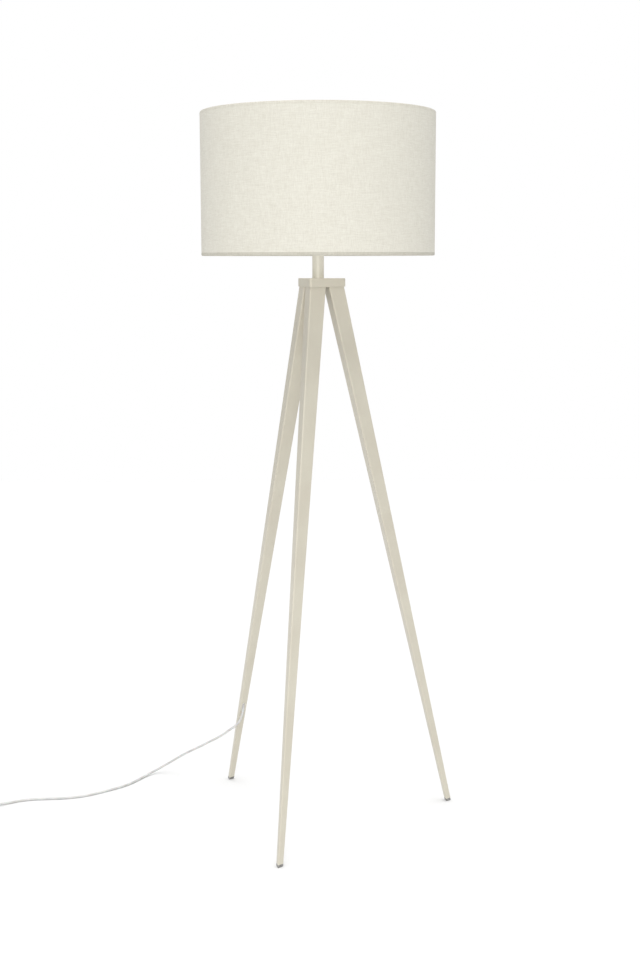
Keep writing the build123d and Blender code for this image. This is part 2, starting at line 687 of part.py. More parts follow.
with BuildPart() as bulb_globe:
    with Locations((0, 0, globe_bottom)):
        Sphere(BULB_RADIUS)
        Sphere(BULB_RADIUS - BULB_WALL, mode=Mode.SUBTRACT)
        Box(
            4 * BULB_RADIUS,
            4 * BULB_RADIUS,
            2 * BULB_RADIUS,
            align=(Align.CENTER, Align.CENTER, Align.MAX),
            mode=Mode.SUBTRACT,
        )
save(bulb_globe, "bulb_globe")

# Shade: fabric laminated on a liner, both ends rolled over a wire ring
wire_circle = SHADE_RADIUS - HEM_THICKNESS - HEM_GAP - WIRE_RADIUS
hem_outside = WIRE_RADIUS + HEM_GAP + HEM_THICKNESS
hem_levels = {"bottom": SHADE_BOTTOM + hem_outside, "top": SHADE_TOP - hem_outside}
cloth_bottom = hem_levels["bottom"] + HEM_OUTER_HEIGHT
cloth_top = hem_levels["top"] - HEM_OUTER_HEIGHT
liner_outer = SHADE_RADIUS - FABRIC_THICKNESS
ring("shade_fabric", liner_outer, SHADE_RADIUS, cloth_bottom, cloth_top)
ring("shade_liner", liner_outer - LINER_THICKNESS, liner_outer, cloth_bottom, cloth_top)

for end, level in hem_levels.items():
    into_shade = 1 if end == "bottom" else -1
    with BuildPart() as wire_ring:
        with BuildSketch(Plane.XZ):
            with Locations((wire_circle, level)):
                Circle(WIRE_RADIUS)
        revolve(axis=Axis.Z)
    save(wire_ring, f"wire_ring_{end}")

    with BuildPart() as hem:
        with BuildSketch(Plane.XZ):
            with Locations((wire_circle, level)):
                Circle(hem_outside)
                Circle(hem_outside - HEM_THICKNESS, mode=Mode.SUBTRACT)
            with Locations((wire_circle, level + into_shade * hem_outside)):
                Rectangle(2 * hem_outside, 2 * hem_outside, mode=Mode.SUBTRACT)
            strip_middle = hem_outside - HEM_THICKNESS / 2
            with Locations((wire_circle + strip_middle, level + into_shade * HEM_OUTER_HEIGHT / 2)):
                Rectangle(HEM_THICKNESS, HEM_OUTER_HEIGHT)
            with Locations((wire_circle - strip_middle, level + into_shade * HEM_INNER_HEIGHT / 2)):
                Rectangle(HEM_THICKNESS, HEM_INNER_HEIGHT)
        revolve(axis=Axis.Z)
    save(hem, f"hem_{end}")

# Spider: the fitter ring rests on the lampholder's flange, its arms run out to the lower wire ring
ring("fitter_ring", FITTER_INNER, FITTER_OUTER, FLANGE_TOP, FITTER_TOP)
arm_level = FLANGE_TOP + FITTER_THICKNESS / 2
arm_end = wire_circle - hem_outside
with BuildPart() as spider_arms:
    for arm in range(ARM_COUNT):
        azimuth = ARM_FIRST_AZIMUTH + arm * 360 / ARM_COUNT
        with BuildLine() as arm_path:
            FilletPolyline(
                around(FITTER_OUTER, azimuth, arm_level),
                around(arm_end - ARM_SLOPE_RUN, azimuth, arm_level),
                around(arm_end, azimuth, hem_levels["bottom"]),
                radius=ARM_BEND_RADIUS,
            )
        outwards = around(1, azimuth, 0)
        with BuildSketch(Plane(origin=around(FITTER_OUTER, azimuth, arm_level), z_dir=outwards)):
            Circle(ARM_RADIUS)
        sweep(path=arm_path.wires()[0])
        # The slanting end is cut upright, flat against the hem
        with BuildSketch(Plane(origin=around(arm_end, azimuth, hem_levels["bottom"]), z_dir=outwards)):
            Circle(4 * ARM_RADIUS)
        extrude(amount=4 * ARM_RADIUS, mode=Mode.SUBTRACT)
save(spider_arms, "spider_arms")

# Shade ring: screwed down the holder's skirt on to the fitter ring, with finger notches
with BuildPart() as shade_ring:
    with BuildSketch(Plane.XY.offset(FITTER_TOP)):
        Circle(SHADE_RING_OUTER)
        Circle(SKIRT_RADIUS + HOLDER_FIT, mode=Mode.SUBTRACT)
        with PolarLocations(SHADE_RING_OUTER, SHADE_RING_NOTCHES):
            Circle(SHADE_RING_NOTCH, mode=Mode.SUBTRACT)
    extrude(amount=SHADE_RING_HEIGHT)
save(shade_ring, "shade_ring")

# Lead inside the lamp: from the holder down the threaded tube, under the hub into the rear leg,
# down the middle of the leg and out through the slot
rear = leg_azimuth(LEG_NAMES.index("rear"))
lead_top = HOLDER_BOTTOM + HOLDER_BOSS_HEIGHT + LEAD_TOP_ABOVE_BOSS
entry = HUB_TOP - LEAD_ENTRY_DROP
inside_points = [
    (0, 0, lead_top),
    (0, 0, HUB_TOP - LEAD_FIRST_BEND),
    around(LEAD_SECOND_BEND_OUT, rear, HUB_TOP - LEAD_SECOND_BEND),
    around(leg_radius(entry), rear, entry),
    beside_inner_face(rear, EXIT_BEND_HEIGHT, EXIT_BEND_ALONG, EXIT_BEND_OUT),
    LEAD_ROUTE[0],
]
cord_tube(inside_points, "lead_inside")

core_offset = LEAD_CORE_RADIUS + LEAD_CORE_GAP
for side, core_name in ((-1, "core_live"), (1, "core_neutral")):
    terminal = side * TERMINAL_SPACING / 2
    core_points = [
        (side * core_offset, 0, lead_top),
        (side * core_offset, 0, lead_top + CORE_BEND),
        (terminal, 0, INSULATOR_BOTTOM - 1.5 * CORE_BEND),
        (terminal, 0, INSULATOR_BOTTOM + TERMINAL_HEIGHT / 2),
    ]
    cord_tube(core_points, core_name, LEAD_CORE_RADIUS)

# Grommet: an oblong bush that lines the slot in the rear leg
with BuildPart() as lead_grommet:
    slot_plane = inner_face_plane(rear, SLOT_HEIGHT_ABOVE_FLOOR)
    with BuildSketch(slot_plane):
        with Locations((SLOT_ALONG, 0)):
            flange_growth = 2 * GROMMET_FLANGE
            SlotOverall(SLOT_LENGTH + flange_growth, SLOT_WIDTH + flange_growth, rotation=90)
    extrude(amount=GROMMET_FLANGE_HEIGHT)
    with BuildSketch(slot_plane):
        with Locations((SLOT_ALONG, 0)):
            SlotOverall(SLOT_LENGTH, SLOT_WIDTH, rotation=90)
    extrude(amount=-LEG_SHEET)
    with BuildSketch(slot_plane):
        with Locations((SLOT_ALONG, 0)):
            SlotOverall(SLOT_LENGTH - 2 * GROMMET_WALL, SLOT_WIDTH - 2 * GROMMET_WALL, rotation=90)
    extrude(amount=3 * LEG_SHEET, both=True, mode=Mode.SUBTRACT)
save(lead_grommet, "lead_grommet")

# Free lead: lamp to switch, switch to coil, coil to plug
length_to_switch = cord_tube(LEAD_ROUTE, "lead_to_switch")
length_to_coil = cord_tube(TAIL_ROUTE, "lead_to_coil")
length_to_plug = cord_tube(PLUG_ROUTE, "lead_to_plug")

# Coil: one solid of the outer shape of its turns
coil_half_width = COIL_TURNS_WIDE * LEAD_RADIUS
coil_height = COIL_LAYERS * 2 * LEAD_RADIUS
with BuildPart() as lead_coil:
    with BuildSketch(Plane(origin=(*COIL_CENTRE, 0), x_dir=(1, 0, 0), z_dir=(0, -1, 0))):
        with Locations((COIL_MIDDLE_RADIUS, TIE_THICKNESS + coil_height / 2)):
            RectangleRounded(2 * coil_half_width, coil_height, LEAD_RADIUS)
    revolve(axis=Axis((*COIL_CENTRE, 0), (0, 0, 1)))
save(lead_coil, "lead_coil")

# Tie round the coil: a strap with a rounded outline
tie_place = around(COIL_MIDDLE_RADIUS, TIE_AZIMUTH, TIE_THICKNESS + coil_height / 2)
tie_plane = Plane(
    origin=Vector(*COIL_CENTRE, 0) + tie_place,
    x_dir=around(1, TIE_AZIMUTH, 0),
    z_dir=around(1, TIE_AZIMUTH + 90, 0),
)
with BuildPart() as coil_tie:
    with BuildSketch(tie_plane):
        opening_width = 2 * (coil_half_width + TIE_SLACK)
        RectangleRounded(opening_width + 2 * TIE_THICKNESS, coil_height + 2 * TIE_THICKNESS, LEAD_RADIUS)
        RectangleRounded(opening_width, coil_height, LEAD_RADIUS - TIE_THICKNESS, mode=Mode.SUBTRACT)
    extrude(amount=TIE_WIDTH / 2, both=True)
save(coil_tie, "coil_tie")

# Foot switch: base and cover joined at the height of the lead, screwed together from below
switch_frame = Plane(origin=(*SWITCH_CENTRE, 0), x_dir=around(1, SWITCH_AZIMUTH, 0), z_dir=(0, 0, 1))
lead_axis = Plane(
    origin=(*SWITCH_CENTRE, SWITCH_SPLIT),
    x_dir=around(1, SWITCH_AZIMUTH + 90, 0),
    z_dir=around(1, SWITCH_AZIMUTH, 0),
)
screw_along = SWITCH_LENGTH / 2 - COVER_SCREW_FROM_END
screw_across = SWITCH_WIDTH / 2 - COVER_SCREW_FROM_SIDE
cover_screws = [(screw_along, screw_across), (-screw_along, -screw_across)]
screw_length = SWITCH_HEIGHT - COVER_SCREW_SHORTER
boss_radius = COVER_SCREW_RADIUS + COVER_BOSS_WALL
lead_hole = LEAD_RADIUS + SWITCH_LEAD_GAP
cavity = (SWITCH_LENGTH - 2 * SWITCH_WALL, SWITCH_WIDTH - 2 * SWITCH_WALL, SWITCH_CORNER - SWITCH_WALL)

with BuildPart() as switch_base:
    with BuildSketch(switch_frame):
        RectangleRounded(SWITCH_LENGTH, SWITCH_WIDTH, SWITCH_CORNER)
    extrude(amount=SWITCH_SPLIT)
    with BuildSketch(switch_frame.offset(SWITCH_WALL)):
        RectangleRounded(*cavity)
    extrude(amount=SWITCH_SPLIT, mode=Mode.SUBTRACT)
    with BuildSketch(switch_frame):
        with Locations(*cover_screws):
            Circle(boss_radius + COVER_BOSS_WALL / 2)
    extrude(amount=SWITCH_SPLIT)
    with BuildSketch(switch_frame):
        with Locations(*cover_screws):
            Circle(COVER_SCREW_RADIUS + COVER_SCREW_GAP)
    extrude(amount=SWITCH_SPLIT, mode=Mode.SUBTRACT)
    with BuildSketch(switch_frame):
        with Locations(*cover_screws):
            Circle(COVER_SCREW_HEAD + COVER_SCREW_GAP)
    extrude(amount=COVER_SCREW_HEAD_HEIGHT + COVER_SCREW_GAP, mode=Mode.SUBTRACT)
    with BuildSketch(lead_axis):
        Circle(lead_hole)
    extrude(amount=SWITCH_LENGTH, both=True, mode=Mode.SUBTRACT)
save(switch_base, "switch_base")

with BuildPart() as switch_cover:
    with BuildSketch(switch_frame.offset(SWITCH_SPLIT)):
        RectangleRounded(SWITCH_LENGTH, SWITCH_WIDTH, SWITCH_CORNER)
    extrude(amount=SWITCH_HEIGHT - SWITCH_SPLIT)
    fillet(switch_cover.edges().group_by(Axis.Z)[-1], SWITCH_TOP_EDGE)
    with BuildSketch(switch_frame.offset(SWITCH_SPLIT)):
        RectangleRounded(*cavity)
    extrude(amount=SWITCH_HEIGHT - SWITCH_SPLIT - SWITCH_WALL, mode=Mode.SUBTRACT)
    with BuildSketch(switch_frame.offset(SWITCH_SPLIT)):
        with Locations(*cover_screws):
            Circle(boss_radius)
    extrude(amount=SWITCH_HEIGHT - SWITCH_SPLIT - SWITCH_WALL)
    with BuildSketch(switch_frame.offset(SWITCH_SPLIT)):
        with Locations(*cover_screws):
            Circle(COVER_SCREW_RADIUS + COVER_SCREW_GAP)
    extrude(amount=screw_length, mode=Mode.SUBTRACT)
    with BuildSketch(switch_frame.offset(SWITCH_HEIGHT)):
        Circle(BUTTON_RADIUS + BUTTON_GAP)
    extrude(amount=-2 * SWITCH_WALL, mode=Mode.SUBTRACT)
    with BuildSketch(lead_axis):
        Circle(lead_hole)
    extrude(amount=SWITCH_LENGTH, both=True, mode=Mode.SUBTRACT)
save(switch_cover, "switch_cover")

# Strain reliefs: tapered sleeves on the lead at both ends of the switch
with BuildPart() as switch_reliefs:
    for end in (-1, 1):
        wall = end * SWITCH_LENGTH / 2
        tip = wall + end * RELIEF_LENGTH
        for distance, thickness in ((wall, RELIEF_ROOT_WALL), (tip, RELIEF_TIP_WALL)):
            with BuildSketch(lead_axis.offset(distance)):
                Circle(lead_hole + thickness)
                Circle(lead_hole, mode=Mode.SUBTRACT)
        loft()
save(switch_reliefs, "switch_reliefs")

# Contact block on the floor of the base
with BuildPart() as contact_block:
    with BuildSketch(switch_frame.offset(SWITCH_WALL)):
        Rectangle(BLOCK_LENGTH, BLOCK_WIDTH)
    extrude(amount=BLOCK_HEIGHT)
    chamfer(contact_block.edges().group_by(Axis.Z)[-1], BLOCK_EDGE)
save(contact_block, "contact_block")

# Push button: a cap held under the cover by its flange, with a plunger in the middle
block_top = SWITCH_WALL + BLOCK_HEIGHT
button_top = SWITCH_HEIGHT + BUTTON_PROUD
ceiling = button_top - BUTTON_WALL
flange_top = SWITCH_HEIGHT - SWITCH_WALL - BUTTON_STOP_GAP
flange_bottom = flange_top - BUTTON_FLANGE_HEIGHT
with BuildPart() as switch_button:
    with BuildSketch(switch_frame.offset(flange_bottom)):
        Circle(BUTTON_RADIUS)
    extrude(amount=button_top - flange_bottom)
    fillet(switch_button.edges().group_by(Axis.Z)[-1], BUTTON_WALL / 2)
    with BuildSketch(switch_frame.offset(flange_bottom)):
        Circle(BUTTON_RADIUS + BUTTON_FLANGE)
    extrude(amount=BUTTON_FLANGE_HEIGHT)
    with BuildSketch(switch_frame.offset(flange_bottom)):
        Circle(BUTTON_RADIUS - BUTTON_WALL)
    extrude(amount=ceiling - flange_bottom, mode=Mode.SUBTRACT)
    with BuildSketch(switch_frame.offset(block_top + BUTTON_TRAVEL + PLUNGER_GAP)):
        Circle(PLUNGER_RADIUS)
    extrude(amount=ceiling - block_top - BUTTON_TRAVEL - PLUNGER_GAP)
save(switch_button, "switch_button")

# Return spring between the contact block and the button
with BuildPart() as switch_spring:
    spring_bottom = block_top + SPRING_GAP + SPRING_WIRE
    spring_height = ceiling - block_top - 2 * (SPRING_GAP + SPRING_WIRE)
    with BuildLine() as spring_path:
        Helix(
            pitch=spring_height / SPRING_TURNS,
            height=spring_height,
            radius=SPRING_RADIUS,
            center=(*SWITCH_CENTRE, spring_bottom),
        )
    with BuildSketch(Plane(origin=spring_path.line @ 0, z_dir=spring_path.line % 0)):
        Circle(SPRING_WIRE)
    sweep(path=spring_path.wires()[0], is_frenet=True)
save(switch_spring, "switch_spring")

# Screws that hold the cover to the base
with BuildPart() as switch_screws:
    with BuildSketch(switch_frame.offset(COVER_SCREW_GAP)):
        with Locations(*cover_screws):
            Circle(COVER_SCREW_HEAD)
    extrude(amount=COVER_SCREW_HEAD_HEIGHT)
    with BuildSketch(switch_frame.offset(COVER_SCREW_GAP)):
        with Locations(*cover_screws):
            Circle(COVER_SCREW_RADIUS)
    extrude(amount=COVER_SCREW_HEAD_HEIGHT + screw_length)
    with BuildSketch(switch_frame.offset(COVER_SCREW_GAP)):
        with Locations(*cover_screws):
            Rectangle(COVER_SCREW_SLOT_LENGTH, COVER_SCREW_SLOT_WIDTH)
            Rectangle(COVER_SCREW_SLOT_WIDTH, COVER_SCREW_SLOT_LENGTH)
    extrude(amount=COVER_SCREW_HEAD_HEIGHT / 2, mode=Mode.SUBTRACT)
save(switch_screws, "switch_screws")

# Plug: a moulded body lying flat, tapering to its strain relief, and two round pins
plug_frame = Plane(origin=(*PLUG_FRONT, PLUG_HEIGHT / 2), x_dir=(0, 1, 0), z_dir=(1, 0, 0))
pin_places = [(-PIN_SPACING / 2, 0), (PIN_SPACING / 2, 0)]
full_section = (PLUG_WIDTH, PLUG_HEIGHT, (PLUG_HEIGHT - PLUG_SIDE_FLAT) / 2)
rear_section = (PLUG_REAR_WIDTH, PLUG_REAR_HEIGHT, (PLUG_REAR_HEIGHT - PLUG_SIDE_FLAT) / 2)
shoulder = -PLUG_LENGTH / 3
with BuildPart() as plug_body:
    with BuildSketch(plug_frame):
        RectangleRounded(*full_section)
    extrude(amount=shoulder)
    with BuildSketch(plug_frame.offset(shoulder)):
        RectangleRounded(*full_section)
    with BuildSketch(plug_frame.offset(-PLUG_LENGTH)):
        RectangleRounded(*rear_section)
    loft(ruled=True)
    with BuildSketch(plug_frame.offset(-PLUG_LENGTH)):
        Circle(LEAD_RADIUS + PLUG_RELIEF_ROOT_WALL)
    with BuildSketch(plug_frame.offset(-PLUG_LENGTH - PLUG_RELIEF)):
        Circle(LEAD_RADIUS + PLUG_RELIEF_TIP_WALL)
    loft(ruled=True)
    with BuildSketch(plug_frame):
        with Locations(*pin_places):
            Circle(PIN_RADIUS - PIN_STEP)
    extrude(amount=-PIN_ROOT, mode=Mode.SUBTRACT)
save(plug_body, "plug_body")

# Pins: their thinner roots are moulded into the plug, their shoulders lie on its front face
with BuildPart() as plug_pins:
    with BuildSketch(plug_frame):
        with Locations(*pin_places):
            Circle(PIN_RADIUS)
    extrude(amount=PIN_LENGTH)
    chamfer(plug_pins.edges().group_by(Axis.X)[-1], PIN_TIP)
    with BuildSketch(plug_frame):
        with Locations(*pin_places):
            Circle(PIN_RADIUS - PIN_STEP)
    extrude(amount=-PIN_ROOT)
save(plug_pins, "plug_pins")

inside_switch = (Vector(*TAIL_ROUTE[0]) - Vector(*LEAD_ROUTE[-1])).length
free_length = length_to_switch + inside_switch + length_to_coil + length_to_plug
print("free lead without the coil:", round(free_length))
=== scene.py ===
from math import cos, pi, radians, sin

import bmesh
import bpy
from mathutils import Matrix, Vector


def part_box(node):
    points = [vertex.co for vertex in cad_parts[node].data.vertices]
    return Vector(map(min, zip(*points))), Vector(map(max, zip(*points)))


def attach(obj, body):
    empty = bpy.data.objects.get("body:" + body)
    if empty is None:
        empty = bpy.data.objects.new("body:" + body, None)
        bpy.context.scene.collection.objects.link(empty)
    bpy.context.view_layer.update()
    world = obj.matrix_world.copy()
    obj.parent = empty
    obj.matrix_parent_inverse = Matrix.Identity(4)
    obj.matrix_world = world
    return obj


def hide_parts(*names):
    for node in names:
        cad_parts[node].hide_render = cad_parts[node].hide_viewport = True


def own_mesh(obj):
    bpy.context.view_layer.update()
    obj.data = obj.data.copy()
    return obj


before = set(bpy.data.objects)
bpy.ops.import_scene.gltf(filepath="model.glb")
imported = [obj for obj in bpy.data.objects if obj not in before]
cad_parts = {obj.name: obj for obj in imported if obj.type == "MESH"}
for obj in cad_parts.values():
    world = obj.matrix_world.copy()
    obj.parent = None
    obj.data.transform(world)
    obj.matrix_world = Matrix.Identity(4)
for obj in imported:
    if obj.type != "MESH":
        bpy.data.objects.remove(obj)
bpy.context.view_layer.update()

# ---- Legs -----------------------------------------------------------------------------------
# Three tapered legs folded from 1.2 mm sheet steel into a three-sided tube, seam-welded and powder
# coated in a warm light greige. The coat is satin, with a fine orange peel.


def tint(red, green, blue):
    """A colour given the way a paint chart gives it, 0 to 255, as the light it reflects."""
    shares = [part / 255 for part in (red, green, blue)]
    return [s / 12.92 if s <= 0.04045 else ((s + 0.055) / 1.055) ** 2.4 for s in shares] + [1.0]


def grained_finish(name, light, dark, patch, grain, relief, roughness, spread=0.06, **sockets):
    """A finish whose colour wanders between two tones in soft patches, patch metres across, and whose
    surface has a fine grain, grain metres across and relief metres high. Other sockets are set as given."""
    finish = bpy.data.materials.new(name)
    finish.use_nodes = True
    nodes, links = finish.node_tree.nodes, finish.node_tree.links
    shader = nodes["Principled BSDF"]
    place = nodes.new("ShaderNodeTexCoord")

    patches = nodes.new("ShaderNodeTexNoise")
    patches.inputs["Scale"].default_value = 1 / patch
    patches.inputs["Detail"].default_value = 4.0
    links.new(place.outputs["Object"], patches.inputs["Vector"])
    tones = nodes.new("ShaderNodeValToRGB")
    tones.color_ramp.elements[0].position = 0.35
    tones.color_ramp.elements[0].color = dark
    tones.color_ramp.elements[1].position = 0.65
    tones.color_ramp.elements[1].color = light
    links.new(patches.outputs["Fac"], tones.inputs["Fac"])
    links.new(tones.outputs["Color"], shader.inputs["Base Color"])

    shine = nodes.new("ShaderNodeMapRange")
    shine.inputs["To Min"].default_value = roughness - spread
    shine.inputs["To Max"].default_value = roughness + spread
    links.new(patches.outputs["Fac"], shine.inputs["Value"])
    links.new(shine.outputs["Result"], shader.inputs["Roughness"])

    grains = nodes.new("ShaderNodeTexNoise")
    grains.inputs["Scale"].default_value = 1 / grain
    grains.inputs["Detail"].default_value = 2.0
    links.new(place.outputs["Object"], grains.inputs["Vector"])
    bump = nodes.new("ShaderNodeBump")
    bump.inputs["Distance"].default_value = relief
    links.new(grains.outputs["Fac"], bump.inputs["Height"])
    links.new(bump.outputs["Normal"], shader.inputs["Normal"])
    for socket, value in sockets.items():
        shader.inputs[socket.replace("_", " ")].default_value = value
    return finish


def dress(finish, *names):
    """Gives carried-over parts their finish."""
    for name in names:
        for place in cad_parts[name].material_slots:
            place.material = finish


powder_coat = grained_finish(
    "powder_coat", light=tint(205, 200, 184), dark=tint(200, 194, 178),
    patch=0.09, grain=0.0011, relief=0.00006, roughness=0.42, Coat_Weight=0.15, Coat_Roughness=0.3,
)
dress(powder_coat, "leg_front", "leg_right", "leg_rear")

raw_steel = grained_finish(
    "raw_steel", light=tint(150, 148, 144), dark=tint(124, 121, 117),
    patch=0.012, grain=0.0006, relief=0.00004, roughness=0.45, Metallic=1.0,
)
dress(raw_steel, "leg_inserts")

# ---- Foot pads ------------------------------------------------------------------------------
# Grey moulded pads with a fine matt grain. Each has a plug that is pushed up into its leg and holds
# it there.
pad_plastic = grained_finish(
    "pad_plastic", light=tint(150, 149, 146), dark=tint(118, 116, 112),
    patch=0.006, grain=0.0004, relief=0.00005, roughness=0.6,
)
dress(pad_plastic, "foot_pad_front", "foot_pad_right", "foot_pad_rear")

# ---- Hub ------------------------------------------------------------------------------------
# A pressed cover with rounded edges over a flat plate, both screwed to the legs from above with
# countersunk screws that are coated with the cover.
dress(powder_coat, "hub_cover")
dress(raw_steel, "hub_plate")
screw_coat = grained_finish(
    "screw_coat", light=tint(208, 203, 187), dark=tint(192, 186, 169),
    patch=0.004, grain=0.0005, relief=0.00005, roughness=0.38,
)
dress(screw_coat, "leg_screws")

# ---- Stem -----------------------------------------------------------------------------------
# A round tube coated like the legs, sprayed smoother, with a turned cap. Its tone is a lighter copy of
# the legs' colour: painted light, for the light the tube catches. A threaded steel tube inside it
# clamps hub, stem and lampholder, with a washer and a nut under the hub.
stem_lacquer_painted_light = grained_finish(
    "stem_lacquer_painted_light", light=tint(222, 218, 205), dark=tint(216, 212, 198),
    patch=0.05, grain=0.0009, relief=0.00002, roughness=0.5, Metallic=0.25,
)
dress(stem_lacquer_painted_light, "stem_tube", "stem_cap")


def cut_thread(finish, pitch, depth):
    """Adds a cut thread round the Z axis to a finish, as ridges pitch metres apart."""
    nodes, links = finish.node_tree.nodes, finish.node_tree.links
    place = nodes.new("ShaderNodeTexCoord")
    ridges = nodes.new("ShaderNodeTexWave")
    ridges.bands_direction = "Z"
    ridges.inputs["Scale"].default_value = 2 * pi / (20 * pitch)
    links.new(place.outputs["Object"], ridges.inputs["Vector"])
    bump = nodes.new("ShaderNodeBump")
    bump.inputs["Distance"].default_value = depth
    links.new(ridges.outputs["Fac"], bump.inputs["Height"])
    links.new(nodes["Bump"].outputs["Normal"], bump.inputs["Normal"])
    links.new(bump.outputs["Normal"], nodes["Principled BSDF"].inputs["Normal"])


zinc = {
    "light": tint(196, 196, 192),
    "dark": tint(168, 168, 166),
    "patch": 0.005,
    "grain": 0.0004,
    "relief": 0.00002,
    "roughness": 0.34,
    "Metallic": 1.0,
}
zinc_thread = grained_finish("zinc_thread", **zinc)
cut_thread(zinc_thread, pitch=0.001, depth=0.0005)
dress(zinc_thread, "threaded_tube")
zinc_plate = grained_finish("zinc_plate", **zinc)
dress(zinc_plate, "hub_washer", "hub_nut", "switch_screws")

# ---- Lampholder -----------------------------------------------------------------------------
# A white moulded holder: cap, body with a flange for the shade, and a threaded skirt for the shade
# ring. Inside it a ceramic insulator carries the brass contacts and the plated screw shell.
holder_plastic = grained_finish(
    "holder_plastic", light=tint(238, 236, 230), dark=tint(232, 229, 222),
    patch=0.02, grain=0.0005, relief=0.00002, roughness=0.3,
)
dress(holder_plastic, "holder_cap")
skirt_plastic = holder_plastic.copy()
skirt_plastic.name = "skirt_plastic"
cut_thread(skirt_plastic, pitch=0.003, depth=0.0009)
dress(skirt_plastic, "holder_body")
steatite = grained_finish(
    "steatite", light=tint(236, 231, 219), dark=tint(224, 217, 202),
    patch=0.004, grain=0.0003, relief=0.00006, roughness=0.7,
)
dress(steatite, "holder_insulator")
brass = grained_finish(
    "brass", light=tint(214, 178, 104), dark=tint(186, 148, 78),
    patch=0.004, grain=0.0004, relief=0.00002, roughness=0.3, Metallic=1.0,
)
dress(brass, "holder_terminals", "centre_contact", "screw_shell")

# ---- Bulb -----------------------------------------------------------------------------------
# An LED bulb: plated cap with a rolled screw thread, black glass at its end and a solder tip, white
# moulded housing and an opal globe.


def calc(tree, operation, *values):
    """One arithmetic node. Each value is a number or another node's output."""
    node = tree.nodes.new("ShaderNodeMath")
    node.operation = operation
    for place, value in enumerate(values):
        if isinstance(value, (int, float)):
            node.inputs[place].default_value = value
        else:
            tree.links.new(value, node.inputs[place])
    return node.outputs[0]


WALL_INPUTS = {
    "Radius": "NodeSocketFloat",
    "Bottom": "NodeSocketFloat",
    "Top": "NodeSocketFloat",
    "Start angle": "NodeSocketFloat",
    "Angle round": "NodeSocketFloat",
    "Columns": "NodeSocketInt",
    "Rows": "NodeSocketInt",
    "Finish": "NodeSocketMaterial",
}


def end_tree(tree, geometry, finish):
    """Ends a Geometry Nodes tree: its geometry smooth shaded, made real and given its finish."""
    for kind in ("GeometryNodeSetShadeSmooth", "GeometryNodeRealizeInstances", "GeometryNodeSetMaterial"):
        step = tree.nodes.new(kind)
        tree.links.new(geometry, step.inputs["Geometry"])
        geometry = step.outputs["Geometry"]
    tree.links.new(finish, step.inputs["Material"])
    tree.links.new(geometry, tree.nodes.new("NodeGroupOutput").inputs["Geometry"])


def round_wall(name, radius_rule, own_inputs, closed):
    """A Geometry Nodes tree that stands a grid up and bends it round the Z axis. The rule gives the
    radius from the tree's inputs, the angle travelled and the share of the height."""
    tree = bpy.data.node_groups.new(name, "GeometryNodeTree")
    for socket, kind in {**WALL_INPUTS, **own_inputs}.items():
        tree.interface.new_socket(socket, in_out="INPUT", socket_type=kind)
    tree.interface.new_socket("Geometry", in_out="OUTPUT", socket_type="NodeSocketGeometry")
    nodes, links = tree.nodes, tree.links
    given = nodes.new("NodeGroupInput").outputs

    grid = nodes.new("GeometryNodeMeshGrid")
    links.new(given["Columns"], grid.inputs["Vertices X"])
    links.new(given["Rows"], grid.inputs["Vertices Y"])
    position = nodes.new("GeometryNodeInputPosition")
    apart = nodes.new("ShaderNodeSeparateXYZ")
    links.new(position.outputs["Position"], apart.inputs["Vector"])
    along = calc(tree, "ADD", apart.outputs["X"], 0.5)
    up = calc(tree, "ADD", apart.outputs["Y"], 0.5)
    travelled = calc(tree, "MULTIPLY", along, given["Angle round"])
    height = calc(tree, "SUBTRACT", given["Top"], given["Bottom"])
    radius = radius_rule(tree, given, travelled, up)
    angle = calc(tree, "ADD", travelled, given["Start angle"])

    # The piece's own map, in metres round and up, for weaves that follow the wall
    size = nodes.new("ShaderNodeCombineXYZ")
    links.new(calc(tree, "MULTIPLY", given["Angle round"], given["Radius"]), size.inputs["X"])
    links.new(height, size.inputs["Y"])
    flat = nodes.new("ShaderNodeVectorMath")
    flat.operation = "MULTIPLY"
    links.new(grid.outputs["UV Map"], flat.inputs[0])
    links.new(size.outputs["Vector"], flat.inputs[1])
    kept = nodes.new("GeometryNodeStoreNamedAttribute")
    kept.data_type = "FLOAT2"
    kept.domain = "CORNER"
    kept.inputs["Name"].default_value = "cut"
    links.new(grid.outputs["Mesh"], kept.inputs["Geometry"])
    links.new(flat.outputs["Vector"], kept.inputs["Value"])

    bent = nodes.new("ShaderNodeCombineXYZ")
    links.new(calc(tree, "MULTIPLY", radius, calc(tree, "COSINE", angle)), bent.inputs["X"])
    links.new(calc(tree, "MULTIPLY", radius, calc(tree, "SINE", angle)), bent.inputs["Y"])
    links.new(calc(tree, "MULTIPLY_ADD", up, height, given["Bottom"]), bent.inputs["Z"])
    moved = nodes.new("GeometryNodeSetPosition")
    links.new(kept.outputs["Geometry"], moved.inputs["Geometry"])
    links.new(bent.outputs["Vector"], moved.inputs["Position"])
    wall = moved.outputs["Geometry"]
    if closed:
        joined = nodes.new("GeometryNodeMergeByDistance")
        joined.inputs["Distance"].default_value = 1e-6
        links.new(wall, joined.inputs["Geometry"])
        wall = joined.outputs["Geometry"]
    end_tree(tree, wall, given["Finish"])
    return tree


def placed(name, data):
    """A new object in the scene that shows the data given."""
    piece = bpy.data.objects.new(name, data)
    bpy.context.scene.collection.objects.link(piece)
    return piece


def made_by(tree, name, sizes):
    """Runs a tree once with its sizes and keeps the result as a plain mesh piece."""
    piece = placed(name, bpy.data.meshes.new(name))
    modifier = piece.modifiers.new(name, "NODES")
    modifier.node_group = tree
    for item in tree.interface.items_tree:
        if item.item_type == "SOCKET" and item.in_out == "INPUT":
            modifier[item.identifier] = sizes[item.name]
    depsgraph = bpy.context.evaluated_depsgraph_get()
    mesh = bpy.data.meshes.new_from_object(piece.evaluated_get(depsgraph))
    piece.modifiers.remove(modifier)
    piece.data = mesh
    mesh.name = name
    return piece


def middle(node):
    """The middle of a carried-over part's box."""
    low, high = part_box(node)
    return (Vector(low) + Vector(high)) / 2


